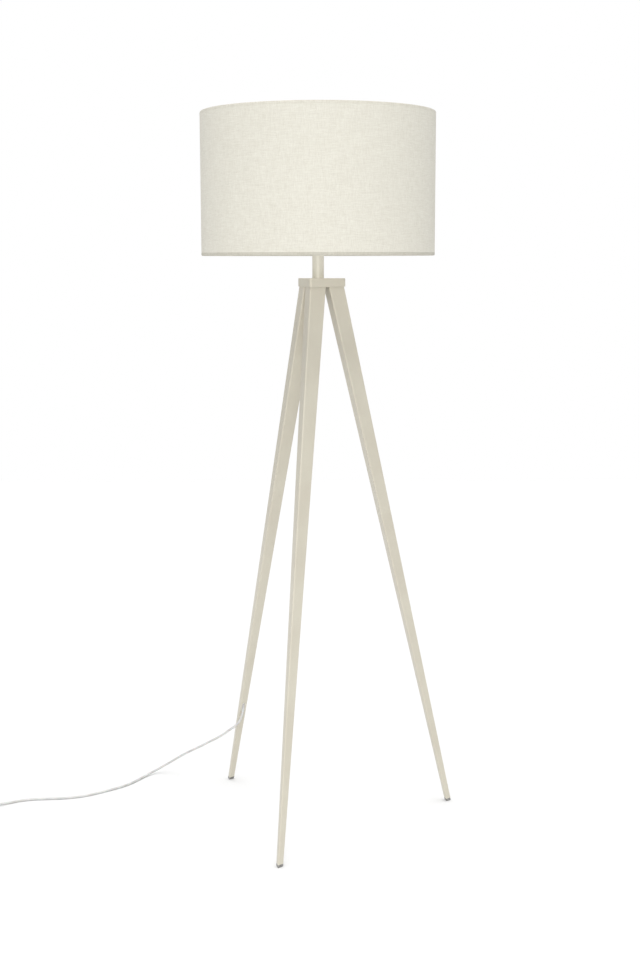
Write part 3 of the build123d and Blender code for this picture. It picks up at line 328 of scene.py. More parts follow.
def rolled_thread(tree, given, travelled, up):
    """Radius of a rolled thread, which climbs one pitch in each turn and runs out at both ends."""
    height = calc(tree, "SUBTRACT", given["Top"], given["Bottom"])
    climbed = calc(tree, "DIVIDE", calc(tree, "MULTIPLY", up, height), given["Pitch"])
    phase = calc(tree, "SUBTRACT", calc(tree, "MULTIPLY", climbed, 2 * pi), travelled)
    wave = calc(tree, "MULTIPLY", calc(tree, "SUBTRACT", calc(tree, "COSINE", phase), 1.0), 0.5)
    run_out = calc(tree, "SINE", calc(tree, "MULTIPLY", up, pi))
    swing = calc(tree, "MINIMUM", calc(tree, "MULTIPLY", run_out, 2.5), 1.0)
    cut = calc(tree, "MULTIPLY", calc(tree, "MULTIPLY", wave, swing), given["Depth"])
    return calc(tree, "ADD", given["Radius"], cut)


nickel = grained_finish(
    "nickel", light=tint(206, 203, 194), dark=tint(184, 180, 170),
    patch=0.006, grain=0.0005, relief=0.00002, roughness=0.24, Metallic=1.0,
)


def thickened(piece, thickness, offset=-1.0):
    """Gives a thin piece its real thickness, and keeps its cut edges crisp."""
    wall = piece.modifiers.new("thickness", "SOLIDIFY")
    wall.thickness = thickness
    wall.offset = offset
    depsgraph = bpy.context.evaluated_depsgraph_get()
    mesh = bpy.data.meshes.new_from_object(piece.evaluated_get(depsgraph))
    piece.modifiers.remove(wall)
    piece.data = mesh
    mesh.name = piece.name
    mesh.set_sharp_from_angle(angle=radians(50))


cap_low, cap_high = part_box("bulb_cap")
cap_radius = (cap_high[0] - cap_low[0]) / 2
CAP_PLAIN = 0.004             # unthreaded length at the bottom of the cap, over the black glass
CAP_PITCH, CAP_DEPTH = 0.00363, 0.0008       # of the rolled thread
CAP_WALL = 0.0004
thread_tree = round_wall(
    "rolled_thread", rolled_thread, {"Pitch": "NodeSocketFloat", "Depth": "NodeSocketFloat"}, closed=True
)
bulb_thread = made_by(thread_tree, "bulb_thread", {
    "Radius": cap_radius,
    "Bottom": cap_low[2] + CAP_PLAIN,
    "Top": cap_high[2],
    "Start angle": 0.0,
    "Angle round": 2 * pi,
    "Columns": 97,
    "Rows": 90,
    "Finish": nickel,
    "Pitch": CAP_PITCH,
    "Depth": CAP_DEPTH,
})
thickened(bulb_thread, CAP_WALL)
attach(bulb_thread, "lamp")
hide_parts("bulb_cap")


def turned(name, outline, sides, finish):
    """A closed solid turned round the Z axis from its outline of (radius, height) points."""
    mesh = bpy.data.meshes.new(name)
    shape = bmesh.new()
    rings = []
    for radius, height in outline:
        if radius == 0:
            rings.append([shape.verts.new((0.0, 0.0, height))])
            continue
        ring = []
        for side in range(sides):
            angle = 2 * pi * side / sides
            ring.append(shape.verts.new((radius * cos(angle), radius * sin(angle), height)))
        rings.append(ring)
    for lower, upper in zip(rings, rings[1:]):
        for side in range(sides):
            after = (side + 1) % sides
            if len(lower) == 1:
                shape.faces.new((lower[0], upper[after], upper[side]))
            elif len(upper) == 1:
                shape.faces.new((lower[side], lower[after], upper[0]))
            else:
                shape.faces.new((lower[side], lower[after], upper[after], upper[side]))
    bmesh.ops.recalc_face_normals(shape, faces=shape.faces)
    for face in shape.faces:
        face.smooth = True
    shape.to_mesh(mesh)
    shape.free()
    mesh.materials.append(finish)
    return placed(name, mesh)


black_glass = grained_finish(
    "black_glass", light=tint(34, 32, 34), dark=tint(22, 20, 22),
    patch=0.003, grain=0.0008, relief=0.00003, roughness=0.12, spread=0.04,
)
GLASS_NECK = 0.0052           # radius of the black glass where the solder tip sits
glass_end = turned(
    "cap_glass",
    [
        (0, cap_low[2]),
        (GLASS_NECK, cap_low[2]),
        (0.7 * cap_radius, cap_low[2] + 0.25 * CAP_PLAIN),
        (0.88 * cap_radius, cap_low[2] + 0.6 * CAP_PLAIN),
        (0.93 * cap_radius, cap_low[2] + 1.2 * CAP_PLAIN),
        (0, cap_low[2] + 1.2 * CAP_PLAIN),
    ],
    64,
    black_glass,
)
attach(glass_end, "lamp")
solder = grained_finish(
    "solder", light=tint(190, 190, 188), dark=tint(160, 160, 160),
    patch=0.002, grain=0.0006, relief=0.0001, roughness=0.3, Metallic=1.0,
)
dress(solder, "bulb_tip")
bulb_plastic = grained_finish(
    "bulb_plastic", light=tint(240, 240, 238), dark=tint(234, 234, 231),
    patch=0.03, grain=0.0006, relief=0.00003, roughness=0.38,
)
dress(bulb_plastic, "bulb_housing")
opal_globe = grained_finish(
    "opal_globe", light=tint(246, 245, 240), dark=tint(241, 239, 233),
    patch=0.03, grain=0.0005, relief=0.00001, roughness=0.3, Subsurface_Weight=0.4,
    Subsurface_Scale=0.004,
)
dress(opal_globe, "bulb_globe")

# ---- Shade frame ----------------------------------------------------------------------------
# A white coated spider: a fitter ring held on the holder's flange by the shade ring, three arms
# bent down and welded to the lower of two wire rings, with the drum's edges rolled round the wires.
white_wire = grained_finish(
    "white_wire", light=tint(236, 235, 231), dark=tint(226, 225, 220),
    patch=0.03, grain=0.0008, relief=0.00005, roughness=0.36,
)
dress(white_wire, "fitter_ring", "spider_arms", "wire_ring_bottom", "wire_ring_top")
dress(holder_plastic, "shade_ring")

# ---- Shade ----------------------------------------------------------------------------------
# A drum of cream linen with uneven slubbed threads, laminated on a white liner. The strip laps
# itself in one glued upright seam at the back, and its two edges are rolled over the wire rings.
THREAD = 0.00115              # from one thread to the next, both ways
THREAD_RELIEF = 0.00022       # height of the weave
WARP_SLUB, WEFT_SLUB = 0.017, 0.023          # usual length of a slub in a thread
TONE_STEP = 3.71              # how far apart in the noise two neighbouring threads take their tones


def linen_finish(name, light, dark, unevenness):
    """Plain-woven linen that follows the piece's own map in metres. Each thread keeps its own tone,
    swells into slubs along its length and passes over and under the threads across it."""
    finish = bpy.data.materials.new(name)
    finish.use_nodes = True
    tree = finish.node_tree
    nodes, links = tree.nodes, tree.links
    shader = nodes["Principled BSDF"]
    cut = nodes.new("ShaderNodeUVMap")
    cut.uv_map = "cut"
    apart = nodes.new("ShaderNodeSeparateXYZ")
    links.new(cut.outputs["UV"], apart.inputs["Vector"])
    across, up = apart.outputs["X"], apart.outputs["Y"]

    def threads(number_from, run_along, offset, slub):
        """Tone of the threads that are numbered along one direction and run along the other."""
        number = calc(tree, "FLOOR", calc(tree, "DIVIDE", number_from, THREAD))
        spot = nodes.new("ShaderNodeCombineXYZ")
        links.new(calc(tree, "MULTIPLY_ADD", number, TONE_STEP, offset), spot.inputs["X"])
        links.new(calc(tree, "DIVIDE", run_along, slub), spot.inputs["Y"])
        noise = nodes.new("ShaderNodeTexNoise")
        noise.noise_dimensions = "2D"
        noise.inputs["Scale"].default_value = 1.0
        noise.inputs["Detail"].default_value = 3.0
        noise.inputs["Roughness"].default_value = 0.62
        links.new(spot.outputs["Vector"], noise.inputs["Vector"])
        return noise.outputs["Fac"]

    warp = threads(across, up, offset=11.3, slub=WARP_SLUB)
    weft = threads(up, across, offset=47.9, slub=WEFT_SLUB)
    waves = [calc(tree, "SINE", calc(tree, "MULTIPLY", way, pi / THREAD)) for way in (across, up)]
    crossing = calc(tree, "MULTIPLY", *waves)
    over = calc(tree, "GREATER_THAN", crossing, 0.0)
    shown = nodes.new("ShaderNodeMix")
    links.new(over, shown.inputs["Factor"])
    links.new(weft, shown.inputs["A"])
    links.new(warp, shown.inputs["B"])
    tones = nodes.new("ShaderNodeValToRGB")
    tones.color_ramp.elements[0].position = 0.5 - 0.5 * unevenness
    tones.color_ramp.elements[0].color = dark
    tones.color_ramp.elements[1].position = 0.5 + 0.5 * unevenness
    tones.color_ramp.elements[1].color = light
    links.new(shown.outputs["Result"], tones.inputs["Fac"])
    links.new(tones.outputs["Color"], shader.inputs["Base Color"])

    pillow = calc(tree, "ABSOLUTE", crossing)
    relief = calc(tree, "MULTIPLY_ADD", shown.outputs["Result"], 1.2, pillow)
    bump = nodes.new("ShaderNodeBump")
    bump.inputs["Distance"].default_value = THREAD_RELIEF
    links.new(relief, bump.inputs["Height"])
    links.new(bump.outputs["Normal"], shader.inputs["Normal"])
    shader.inputs["Roughness"].default_value = 0.9
    shader.inputs["Sheen Weight"].default_value = 0.12
    shader.inputs["Sheen Roughness"].default_value = 0.45
    shader.inputs["Specular IOR Level"].default_value = 0.25
    return finish


linen = linen_finish("shade_linen", tint(231, 229, 218), tint(213, 209, 196), unevenness=0.40)
fabric_low, fabric_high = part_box("shade_fabric")
drum_radius = (fabric_high[0] - fabric_low[0]) / 2
SEAM_ANGLE = radians(58)
SEAM_LAP = 0.011
SEAM_CLIMB = 0.004            # length over which the strip climbs on to its own start
FABRIC_THICKNESS = 0.0007
FABRIC_UNDER = 0.0014         # how far the linen runs on under its own rolled edges


def share_only(tree, value):
    """A value kept between 0 and 1."""
    return calc(tree, "MINIMUM", calc(tree, "MAXIMUM", value, 0.0), 1.0)


def lapped_drum(tree, given, travelled, up):
    """Radius of a strip that goes once round and then climbs over its own start."""
    past = calc(tree, "SUBTRACT", travelled, calc(tree, "SUBTRACT", 2 * pi, given["Climb"]))
    climb = share_only(tree, calc(tree, "DIVIDE", past, given["Climb"]))
    return calc(tree, "MULTIPLY_ADD", climb, given["Lap height"], given["Radius"])


drum_tree = round_wall(
    "lapped_drum", lapped_drum, {"Climb": "NodeSocketFloat", "Lap height": "NodeSocketFloat"}, closed=False
)
shade = made_by(drum_tree, "linen_drum", {
    "Radius": drum_radius - 0.0001,
    "Bottom": fabric_low[2] - FABRIC_UNDER,
    "Top": fabric_high[2] + FABRIC_UNDER,
    "Start angle": SEAM_ANGLE,
    "Angle round": 2 * pi + SEAM_LAP / drum_radius,
    "Columns": 481,
    "Rows": 25,
    "Finish": linen,
    "Climb": SEAM_CLIMB / drum_radius,
    "Lap height": FABRIC_THICKNESS,
})
thickened(shade, FABRIC_THICKNESS)
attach(shade, "lamp")
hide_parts("shade_fabric")

liner_film = grained_finish(
    "liner_film", light=tint(239, 238, 233), dark=tint(237, 235, 230),
    patch=0.02, grain=0.0012, relief=0.00003, roughness=0.6, spread=0.03,
)
dress(liner_film, "shade_liner")


HEM_ROLL = 0.0026             # radius of the roll round the wire
HEM_OUTSIDE, HEM_INSIDE = 0.0066, 0.0126     # how far the edge reaches up outside and inside
HEM_THICKNESS = 0.0008
HEM_INSET = 0.00005           # from the drum's outside in to the edge's
HEM_COLUMNS, HEM_ROLL_STEPS = 540, 12
# Waves round the drum, each with its height, its count and where it starts
HEM_WANDER = ((0.0005, 7, 1.3), (0.0003, 19, 0.4), (0.0002, 53, 0.0))
HEM_PUCKER = ((0.00007, 41, 0.9), (0.00005, 87, 2.1))


def ripple(waves, angle):
    """How far a set of waves moves an edge at an angle round the drum."""
    return sum(height * sin(count * angle + start) for height, count, start in waves)


def rolled_edge(name, node, into_shade, cloth):
    """The drum's edge rolled over its wire: down the outside, half a turn round the wire and up the
    inside to a raw glued edge, which wanders a little."""
    low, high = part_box(node)
    end = low[2] if into_shade > 0 else high[2]
    outer, roll = drum_radius - HEM_INSET, HEM_ROLL
    side = HEM_OUTSIDE - roll
    outline = [(outer, HEM_OUTSIDE, 0.0), (outer, 0.5 * (HEM_OUTSIDE + roll), 0.5 * side)]
    for step in range(HEM_ROLL_STEPS + 1):
        angle = pi * step / HEM_ROLL_STEPS
        outline.append((outer - roll + roll * cos(angle), roll * (1 - sin(angle)), side + roll * angle))
    side = outline[-1][2]
    for share in (0.3, 0.65, 1.0):
        up = share * (HEM_INSIDE - roll)
        outline.append((outer - 2 * roll, roll + up, side + up))
    cloth_bottom = fabric_low[2] - FABRIC_UNDER
    start_height = end + into_shade * HEM_OUTSIDE - cloth_bottom
    mesh = bpy.data.meshes.new(name)
    shape = bmesh.new()
    uv = shape.loops.layers.uv.new("cut")
    rings = []
    for column in range(HEM_COLUMNS):
        angle = 2 * pi * column / HEM_COLUMNS
        wander, pucker = ripple(HEM_WANDER, angle), ripple(HEM_PUCKER, angle)
        ring = []
        for place, (radius, reach, _) in enumerate(outline):
            inside = place >= len(outline) - 3
            reach += wander * (place == len(outline) - 1)
            radius = min(radius + pucker * (3 if inside else 1) * (place > 1), outer)
            turned_to = SEAM_ANGLE + angle
            spot = (radius * cos(turned_to), radius * sin(turned_to), end + into_shade * reach)
            ring.append(shape.verts.new(spot))
        rings.append(ring)
    for column in range(HEM_COLUMNS):
        here, there = rings[column], rings[(column + 1) % HEM_COLUMNS]
        for place in range(len(outline) - 1):
            corners = [here[place], there[place], there[place + 1], here[place + 1]]
            spots = [(column, place), (column + 1, place), (column + 1, place + 1), (column, place + 1)]
            if into_shade > 0:
                corners.reverse()
                spots.reverse()
            face = shape.faces.new(corners)
            face.smooth = True
            for loop, (turn, spot) in zip(face.loops, spots):
                up = start_height - into_shade * outline[spot][2]
                loop[uv].uv = (2 * pi * turn / HEM_COLUMNS * drum_radius, up)
    shape.normal_update()
    shape.to_mesh(mesh)
    shape.free()
    mesh.materials.append(cloth)
    piece = placed(name, mesh)
    thickened(piece, HEM_THICKNESS)
    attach(piece, "lamp")
    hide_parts(node)
    return piece


# Painted shade: the lower rolled edge's linen is toned darker than the drum's, for the shade on the roll
# where it turns under.
lower_linen_painted_shade = linen_finish("lower_edge_linen_painted_shade", tint(208, 205, 193), tint(188, 184, 170), unevenness=0.36)
# Painted shade, less of it: the upper rolled edge's linen is toned a little darker than the drum's, for the
# shade on its roll.
upper_linen_painted_shade = linen_finish("upper_edge_linen_painted_shade", tint(227, 224, 213), tint(207, 203, 189), unevenness=0.36)
hems = [
    rolled_edge("lower_edge", "hem_bottom", 1, lower_linen_painted_shade),
    rolled_edge("upper_edge", "hem_top", -1, upper_linen_painted_shade),
]

# ---- Mains lead -----------------------------------------------------------------------------
# A round two-core lead, 5.2 mm thick, in pale grey PVC. It comes down inside the rear leg, leaves it
# through a slot, hangs in a slack curve to the floor and runs through the foot switch to the plug.
lead_pvc = grained_finish(
    "lead_pvc", light=tint(210, 210, 208), dark=tint(190, 190, 188),
    patch=0.02, grain=0.0009, relief=0.00004, roughness=0.38, Coat_Weight=0.4, Coat_Roughness=0.15,
    Subsurface_Weight=0.1, Subsurface_Scale=0.002,
)
dress(lead_pvc, "lead_inside")
for wire, colour in (("core_live", (112, 66, 40)), ("core_neutral", (60, 110, 170))):
    red, green, blue = colour
    insulation = grained_finish(
        f"{wire}_insulation", light=tint(red, green, blue),
        dark=tint(0.85 * red, 0.85 * green, 0.85 * blue),
        patch=0.004, grain=0.0006, relief=0.00002, roughness=0.35,
    )
    dress(insulation, wire)

LEAD_DIAMETER = 0.0052
SWITCH_LEAD_IN = (-0.7882, 0.0076, 0.0070)
SWITCH_LEAD_OUT = (-0.8138, -0.0116, 0.0070)
lead_route = [
    (-0.1813, 0.1828, 0.1925),
    (-0.1816, 0.1779, 0.1805),
    (-0.1849, 0.1754, 0.1696),
    (-0.1906, 0.1749, 0.1582),
    (-0.2000, 0.1765, 0.1470),
    (-0.2140, 0.1805, 0.1365),
    (-0.2360, 0.1885, 0.1180),
    (-0.2620, 0.2030, 0.1005),
    (-0.2900, 0.2230, 0.0795),
    (-0.3260, 0.2460, 0.0560),
    (-0.3610, 0.2640, 0.0295),
    (-0.3926, 0.2640, 0.0108),
    (-0.4170, 0.2440, 0.0039),
    (-0.4370, 0.2090, 0.0026),
    (-0.4570, 0.1760, 0.0026),
    (-0.4840, 0.1490, 0.0026),
    (-0.5170, 0.1234, 0.0026),
    (-0.5530, 0.0985, 0.0026),
    (-0.5950, 0.0860, 0.0026),
    (-0.6400, 0.0830, 0.0026),
    (-0.6830, 0.0780, 0.0026),
    (-0.7170, 0.0600, 0.0026),
    (-0.7550, 0.0325, 0.0070),
    SWITCH_LEAD_IN,
    SWITCH_LEAD_OUT,
    (-0.8470, -0.0365, 0.0070),
    (-0.8658, -0.0506, 0.0032),
]
COIL_CENTRE = (-0.8447, -0.0788)
COIL_OUTER, COIL_INNER = 0.0352, 0.0248      # radii of the outermost and innermost turns
COIL_FIRST_LAYER, COIL_SECOND_LAYER = 0.0032, 0.0084
COIL_START = radians(126.87)
COIL_TURNS_IN, COIL_TURNS_UP, COIL_TURNS_OUT = 2.0, 0.4, 2.0
COIL_POINTS_A_TURN = 24


def coil_points():
    """The coil's turns: inwards on the floor, up one layer, and outwards again on top."""
    turns = COIL_TURNS_IN + COIL_TURNS_UP + COIL_TURNS_OUT
    count = round(turns * COIL_POINTS_A_TURN)
    points = []
    for number in range(1, count):
        turn = turns * number / count
        inwards = min(turn / COIL_TURNS_IN, 1)
        climbed = min(max((turn - COIL_TURNS_IN) / COIL_TURNS_UP, 0), 1)
        outwards = max((turn - COIL_TURNS_IN - COIL_TURNS_UP) / COIL_TURNS_OUT, 0)
        radius = COIL_OUTER + (COIL_INNER - COIL_OUTER) * (inwards - outwards)
        angle = COIL_START + 2 * pi * turn
        points.append((
            COIL_CENTRE[0] + radius * cos(angle),
            COIL_CENTRE[1] + radius * sin(angle),
            COIL_FIRST_LAYER + (COIL_SECOND_LAYER - COIL_FIRST_LAYER) * climbed,
        ))
    return points


lead_route += coil_points()
lead_route += [
    (-0.8447, -0.1140, 0.0084),
    (-0.8260, -0.1146, 0.0076),
    (-0.8070, -0.1140, 0.0069),
]

lead_line = bpy.data.curves.new("mains_lead", "CURVE")
lead_line.dimensions = "3D"
lead_spline = lead_line.splines.new("NURBS")
lead_spline.points.add(len(lead_route) - 1)
for spot, point in zip(lead_spline.points, lead_route):
    spot.co = (*point, 1.0)
lead_spline.order_u = 3
lead_spline.use_endpoint_u = True
lead_spline.resolution_u = 6
lead_line.bevel_depth = LEAD_DIAMETER / 2
lead_line.bevel_resolution = 4
lead_line.use_fill_caps = True
lead_line.materials.append(lead_pvc)
mains_lead = placed("mains_lead", lead_line)
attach(mains_lead, "lamp")
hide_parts("lead_to_switch", "lead_to_coil", "lead_coil", "lead_to_plug")

# ---- Grommet --------------------------------------------------------------------------------
# A soft bush that lines the slot in the rear leg, with a thin rounded lip on the outside.
grommet_rubber = grained_finish(
    "grommet_rubber", light=tint(232, 229, 220), dark=tint(222, 218, 208),
    patch=0.006, grain=0.0005, relief=0.00004, roughness=0.5,
)


def eased(node, width, finish, name):
    """A copy of a carried-over part, merged into one skin, with its sharp edges rounded."""
    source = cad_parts[node]
    mesh = source.data.copy()
    mesh.name = name
    shape = bmesh.new()
    shape.from_mesh(mesh)
    bmesh.ops.remove_doubles(shape, verts=shape.verts, dist=1e-6)
    bmesh.ops.dissolve_limit(shape, angle_limit=radians(1), verts=shape.verts, edges=shape.edges)
    shape.to_mesh(mesh)
    shape.free()
    mesh.materials.clear()
    mesh.materials.append(finish)
    piece = placed(name, mesh)
    for polygon in mesh.polygons:
        polygon.use_smooth = True
    rounding = piece.modifiers.new("eased_edges", "BEVEL")
    rounding.width = width
    rounding.segments = 3
    rounding.limit_method = "ANGLE"
    rounding.angle_limit = radians(40)
    rounding.harden_normals = True
    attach(piece, "lamp")
    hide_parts(node)
    return piece


GROMMET_LIP = 0.0003          # rounding of the bush's edges
grommet = eased("lead_grommet", GROMMET_LIP, grommet_rubber, "slot_bush")

# ---- Foot switch ----------------------------------------------------------------------------
# A white moulded switch the lead runs through: base and cover screwed together from below, a round
# push button with a spring and a contact block under it, and a ribbed sleeve at each end.
switch_plastic = grained_finish(
    "switch_plastic", light=tint(236, 234, 228), dark=tint(230, 227, 220),
    patch=0.02, grain=0.00045, relief=0.00006, roughness=0.46,
)

# Where base and cover meet, a fine groove runs round the switch
split_plastic = switch_plastic.copy()
split_plastic.name = "split_plastic"
split_tree = split_plastic.node_tree
split_place = split_tree.nodes.new("ShaderNodeTexCoord")
split_apart = split_tree.nodes.new("ShaderNodeSeparateXYZ")
split_tree.links.new(split_place.outputs["Object"], split_apart.inputs["Vector"])
SPLIT_HEIGHT, SPLIT_GAP = 0.007, 0.00022
groove = calc(split_tree, "COMPARE", split_apart.outputs["Z"], SPLIT_HEIGHT, SPLIT_GAP)
split_tones = split_tree.nodes.new("ShaderNodeMix")
split_tones.data_type = "RGBA"
split_tones.inputs["B"].default_value = tint(150, 147, 140)
split_shader = split_tree.nodes["Principled BSDF"]
split_tree.links.new(split_shader.inputs["Base Color"].links[0].from_socket, split_tones.inputs["A"])
split_tree.links.new(groove, split_tones.inputs["Factor"])
split_tree.links.new(split_tones.outputs["Result"], split_shader.inputs["Base Color"])
dress(split_plastic, "switch_base", "switch_cover")
button_plastic = grained_finish(
    "button_plastic", light=tint(228, 226, 219), dark=tint(221, 218, 210),
    patch=0.015, grain=0.0006, relief=0.00002, roughness=0.3,
)
dress(button_plastic, "switch_button")
block_plastic = grained_finish(
    "block_plastic", light=tint(60, 60, 60), dark=tint(44, 44, 44),
    patch=0.006, grain=0.0004, relief=0.00004, roughness=0.5,
)
dress(block_plastic, "contact_block")


def wound_spring():
    """A Geometry Nodes tree that winds a round wire into a spring, up from the origin."""
    tree = bpy.data.node_groups.new("wound_spring", "GeometryNodeTree")
    for socket in ("Turns", "Radius", "Height", "Wire radius"):
        tree.interface.new_socket(socket, in_out="INPUT", socket_type="NodeSocketFloat")
    tree.interface.new_socket("Finish", in_out="INPUT", socket_type="NodeSocketMaterial")
    tree.interface.new_socket("Geometry", in_out="OUTPUT", socket_type="NodeSocketGeometry")
    nodes, links = tree.nodes, tree.links
    given = nodes.new("NodeGroupInput").outputs
    winding = nodes.new("GeometryNodeCurveSpiral")
    winding.inputs["Resolution"].default_value = 40
    links.new(given["Turns"], winding.inputs["Rotations"])
    links.new(given["Radius"], winding.inputs["Start Radius"])
    links.new(given["Radius"], winding.inputs["End Radius"])
    links.new(given["Height"], winding.inputs["Height"])
    section = nodes.new("GeometryNodeCurvePrimitiveCircle")
    section.inputs["Resolution"].default_value = 10
    links.new(given["Wire radius"], section.inputs["Radius"])
    drawn = nodes.new("GeometryNodeCurveToMesh")
    drawn.inputs["Fill Caps"].default_value = True
    links.new(winding.outputs["Curve"], drawn.inputs["Curve"])
    links.new(section.outputs["Curve"], drawn.inputs["Profile Curve"])
    end_tree(tree, drawn.outputs["Mesh"], given["Finish"])
    return tree


spring_low, spring_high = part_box("switch_spring")
spring_height = spring_high[2] - spring_low[2]
SPRING_WIRE = 0.00045         # radius of the spring's wire
SPRING_TURNS = 4.0
return_spring = made_by(wound_spring(), "return_spring", {
    "Turns": SPRING_TURNS,
    "Radius": (spring_high[0] - spring_low[0]) / 2 - SPRING_WIRE,
    "Height": spring_height - 2 * SPRING_WIRE,
    "Wire radius": SPRING_WIRE,
    "Finish": zinc_plate,
})
spring_foot = middle("switch_spring")
spring_foot.z = spring_low[2]
return_spring.data.transform(Matrix.Translation(spring_foot + Vector((0.0, 0.0, SPRING_WIRE))))
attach(return_spring, "lamp")
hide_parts("switch_spring")
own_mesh(return_spring)


def ribbed_sleeve(tree, given, travelled, up):
    """Radius of a tapering sleeve with rounded ribs, smooth at its root."""
    narrowing = calc(tree, "SUBTRACT", given["Tip radius"], given["Radius"])
    taper = calc(tree, "MULTIPLY_ADD", up, narrowing, given["Radius"])
    rib = calc(tree, "MULTIPLY", calc(tree, "MULTIPLY", up, given["Ribs"]), 2 * pi)
    wave = calc(tree, "SUBTRACT", calc(tree, "COSINE", rib), 1.0)
    groove = calc(tree, "MULTIPLY", wave, calc(tree, "MULTIPLY", given["Rib height"], 0.5))
    return calc(tree, "ADD", taper, groove)


sleeve_tree = round_wall(
    "ribbed_sleeve",
    ribbed_sleeve,
    {"Tip radius": "NodeSocketFloat", "Ribs": "NodeSocketFloat", "Rib height": "NodeSocketFloat"},
    closed=True,
)


SLEEVE_RIB = 0.0009           # depth of the grooves between ribs
ROWS_A_RIB = 12


def sleeve(name, root, tip, root_radius, tip_radius, ribs, finish):
    """A ribbed strain relief on the lead, from its root on the housing to its tip."""
    root, tip = Vector(root), Vector(tip)
    piece = made_by(sleeve_tree, name, {
        "Radius": root_radius,
        "Tip radius": tip_radius,
        "Bottom": 0.0,
        "Top": (tip - root).length,
        "Start angle": 0.0,
        "Angle round": 2 * pi,
        "Columns": 49,
        "Rows": ROWS_A_RIB * ribs + 1,
        "Finish": finish,
        "Ribs": float(ribs),
        "Rib height": SLEEVE_RIB,
    })
    shape = bmesh.new()
    shape.from_mesh(piece.data)
    bmesh.ops.holes_fill(shape, edges=[edge for edge in shape.edges if edge.is_boundary])
    bmesh.ops.recalc_face_normals(shape, faces=shape.faces)
    turn = (tip - root).to_track_quat("Z", "Y").to_matrix().to_4x4()
    shape.transform(Matrix.Translation(root) @ turn)
    shape.to_mesh(piece.data)
    shape.free()
    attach(piece, "lamp")
    return piece


SLEEVE_LENGTH = 0.020
SLEEVE_ROOT, SLEEVE_TIP = 0.0049, 0.0036     # radii
SLEEVE_RIBS = 5
lead_in, lead_out = Vector(SWITCH_LEAD_IN), Vector(SWITCH_LEAD_OUT)
switch_middle = (lead_in + lead_out) / 2
switch_way = (lead_in - lead_out).normalized()
SWITCH_HALF = 0.035           # from the switch's middle to where a sleeve starts
for name, way in (("sleeve_lamp_side", switch_way), ("sleeve_plug_side", -switch_way)):
    root = switch_middle + way * SWITCH_HALF
    tip = root + way * SLEEVE_LENGTH
    sleeve(name, root, tip, SLEEVE_ROOT, SLEEVE_TIP, SLEEVE_RIBS, switch_plastic)
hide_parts("switch_reliefs")

# ---- Plug -----------------------------------------------------------------------------------
# A flat two-pin plug moulded on the lead in one piece with a ribbed relief. Each pin is plated, with
# a moulded sleeve over the half nearest the plug.


def lofted(name, sections, sides, finish):
    """A closed skin through rounded sections across the X axis: (x, half width, half height, squareness)."""
    mesh = bpy.data.meshes.new(name)
    shape = bmesh.new()
    rings = []
    for x, half_width, half_height, squareness in sections:
        ring = []
        for side in range(sides):
            angle = 2 * pi * side / sides
            over, above = cos(angle), sin(angle)
            y = half_width * abs(over) ** (2 / squareness) * (1 if over > 0 else -1)
            z = half_height * abs(above) ** (2 / squareness) * (1 if above > 0 else -1)
            ring.append(shape.verts.new((x, plug_middle.y + y, plug_middle.z + z)))
        rings.append(ring)
    for one, other in zip(rings, rings[1:]):
        for side in range(sides):
            after = (side + 1) % sides
            shape.faces.new((one[side], one[after], other[after], other[side]))
    shape.faces.new(list(reversed(rings[0])))
    shape.faces.new(rings[-1])
    bmesh.ops.recalc_face_normals(shape, faces=shape.faces)
    for face in shape.faces:
        face.smooth = len(face.verts) == 4
    shape.to_mesh(mesh)
    shape.free()
    mesh.materials.append(finish)
    return placed(name, mesh)


plug_middle = middle("plug_body")
plug_low, plug_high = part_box("plug_body")
plug_half_width = (plug_high[1] - plug_low[1]) / 2
plug_half_height = (plug_high[2] - plug_low[2]) / 2
PLUG_BODY, PLUG_RELIEF = 0.036, 0.024        # lengths
plug_front = plug_high[0]
PLUG_FRONT = 0.06             # share of the body over which its front edge is eased
PLUG_FRONT_ACROSS, PLUG_FRONT_DOWN = 0.0012, 0.0010
PLUG_WAIST_FROM, PLUG_WAIST_RUN = 0.33, 0.67 # shares of the body where it narrows to the lead
PLUG_WAIST_ACROSS, PLUG_WAIST_DOWN = 0.0095, 0.0012
PLUG_GRIP_FROM, PLUG_GRIP_RUN = 0.45, 0.47   # shares of the body with finger grooves
PLUG_GROOVES, PLUG_GROOVE = 5, 0.0004        # their number and half their depth
PLUG_SQUARENESS, PLUG_ROUNDER = 3.2, 0.8
PLUG_STEPS, PLUG_SIDES = 72, 96
PLUG_END = (0.0006, 0.0066, 0.0050, 2.2)     # last section: further back, half width, half height, squareness


def plug_section(share):
    """One section of the plug's body, share of the way back from its front face."""
    before_edge = 1 - min(share / PLUG_FRONT, 1) ** 0.5
    waist = max((share - PLUG_WAIST_FROM) / PLUG_WAIST_RUN, 0)
    narrowing = waist * waist * (3 - 2 * waist)
    half_width = plug_half_width - PLUG_FRONT_ACROSS * before_edge - PLUG_WAIST_ACROSS * narrowing
    half_height = plug_half_height - PLUG_FRONT_DOWN * before_edge - PLUG_WAIST_DOWN * narrowing
    if PLUG_GRIP_FROM < share < PLUG_GRIP_FROM + PLUG_GRIP_RUN:
        grooves = 2 * pi * (share - PLUG_GRIP_FROM) / PLUG_GRIP_RUN * PLUG_GROOVES
        half_height -= PLUG_GROOVE * (1 - cos(grooves))
    squareness = PLUG_SQUARENESS - PLUG_ROUNDER * narrowing
    return (plug_front - share * PLUG_BODY, half_width, half_height, squareness)


plug_sections = [plug_section(step / PLUG_STEPS) for step in range(PLUG_STEPS + 1)]
plug_rear = plug_front - PLUG_BODY
plug_sections.append((plug_rear - PLUG_END[0], *PLUG_END[1:]))
plug_moulding = lofted("plug_moulding", plug_sections, PLUG_SIDES, switch_plastic)
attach(plug_moulding, "lamp")
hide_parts("plug_body")
plug_sleeve = sleeve(
    "plug_sleeve",
    (plug_rear, plug_middle.y, plug_middle.z),
    (plug_rear - PLUG_RELIEF, plug_middle.y, plug_middle.z),
    root_radius=0.0050,
    tip_radius=0.0034,
    ribs=6,
    finish=switch_plastic,
)

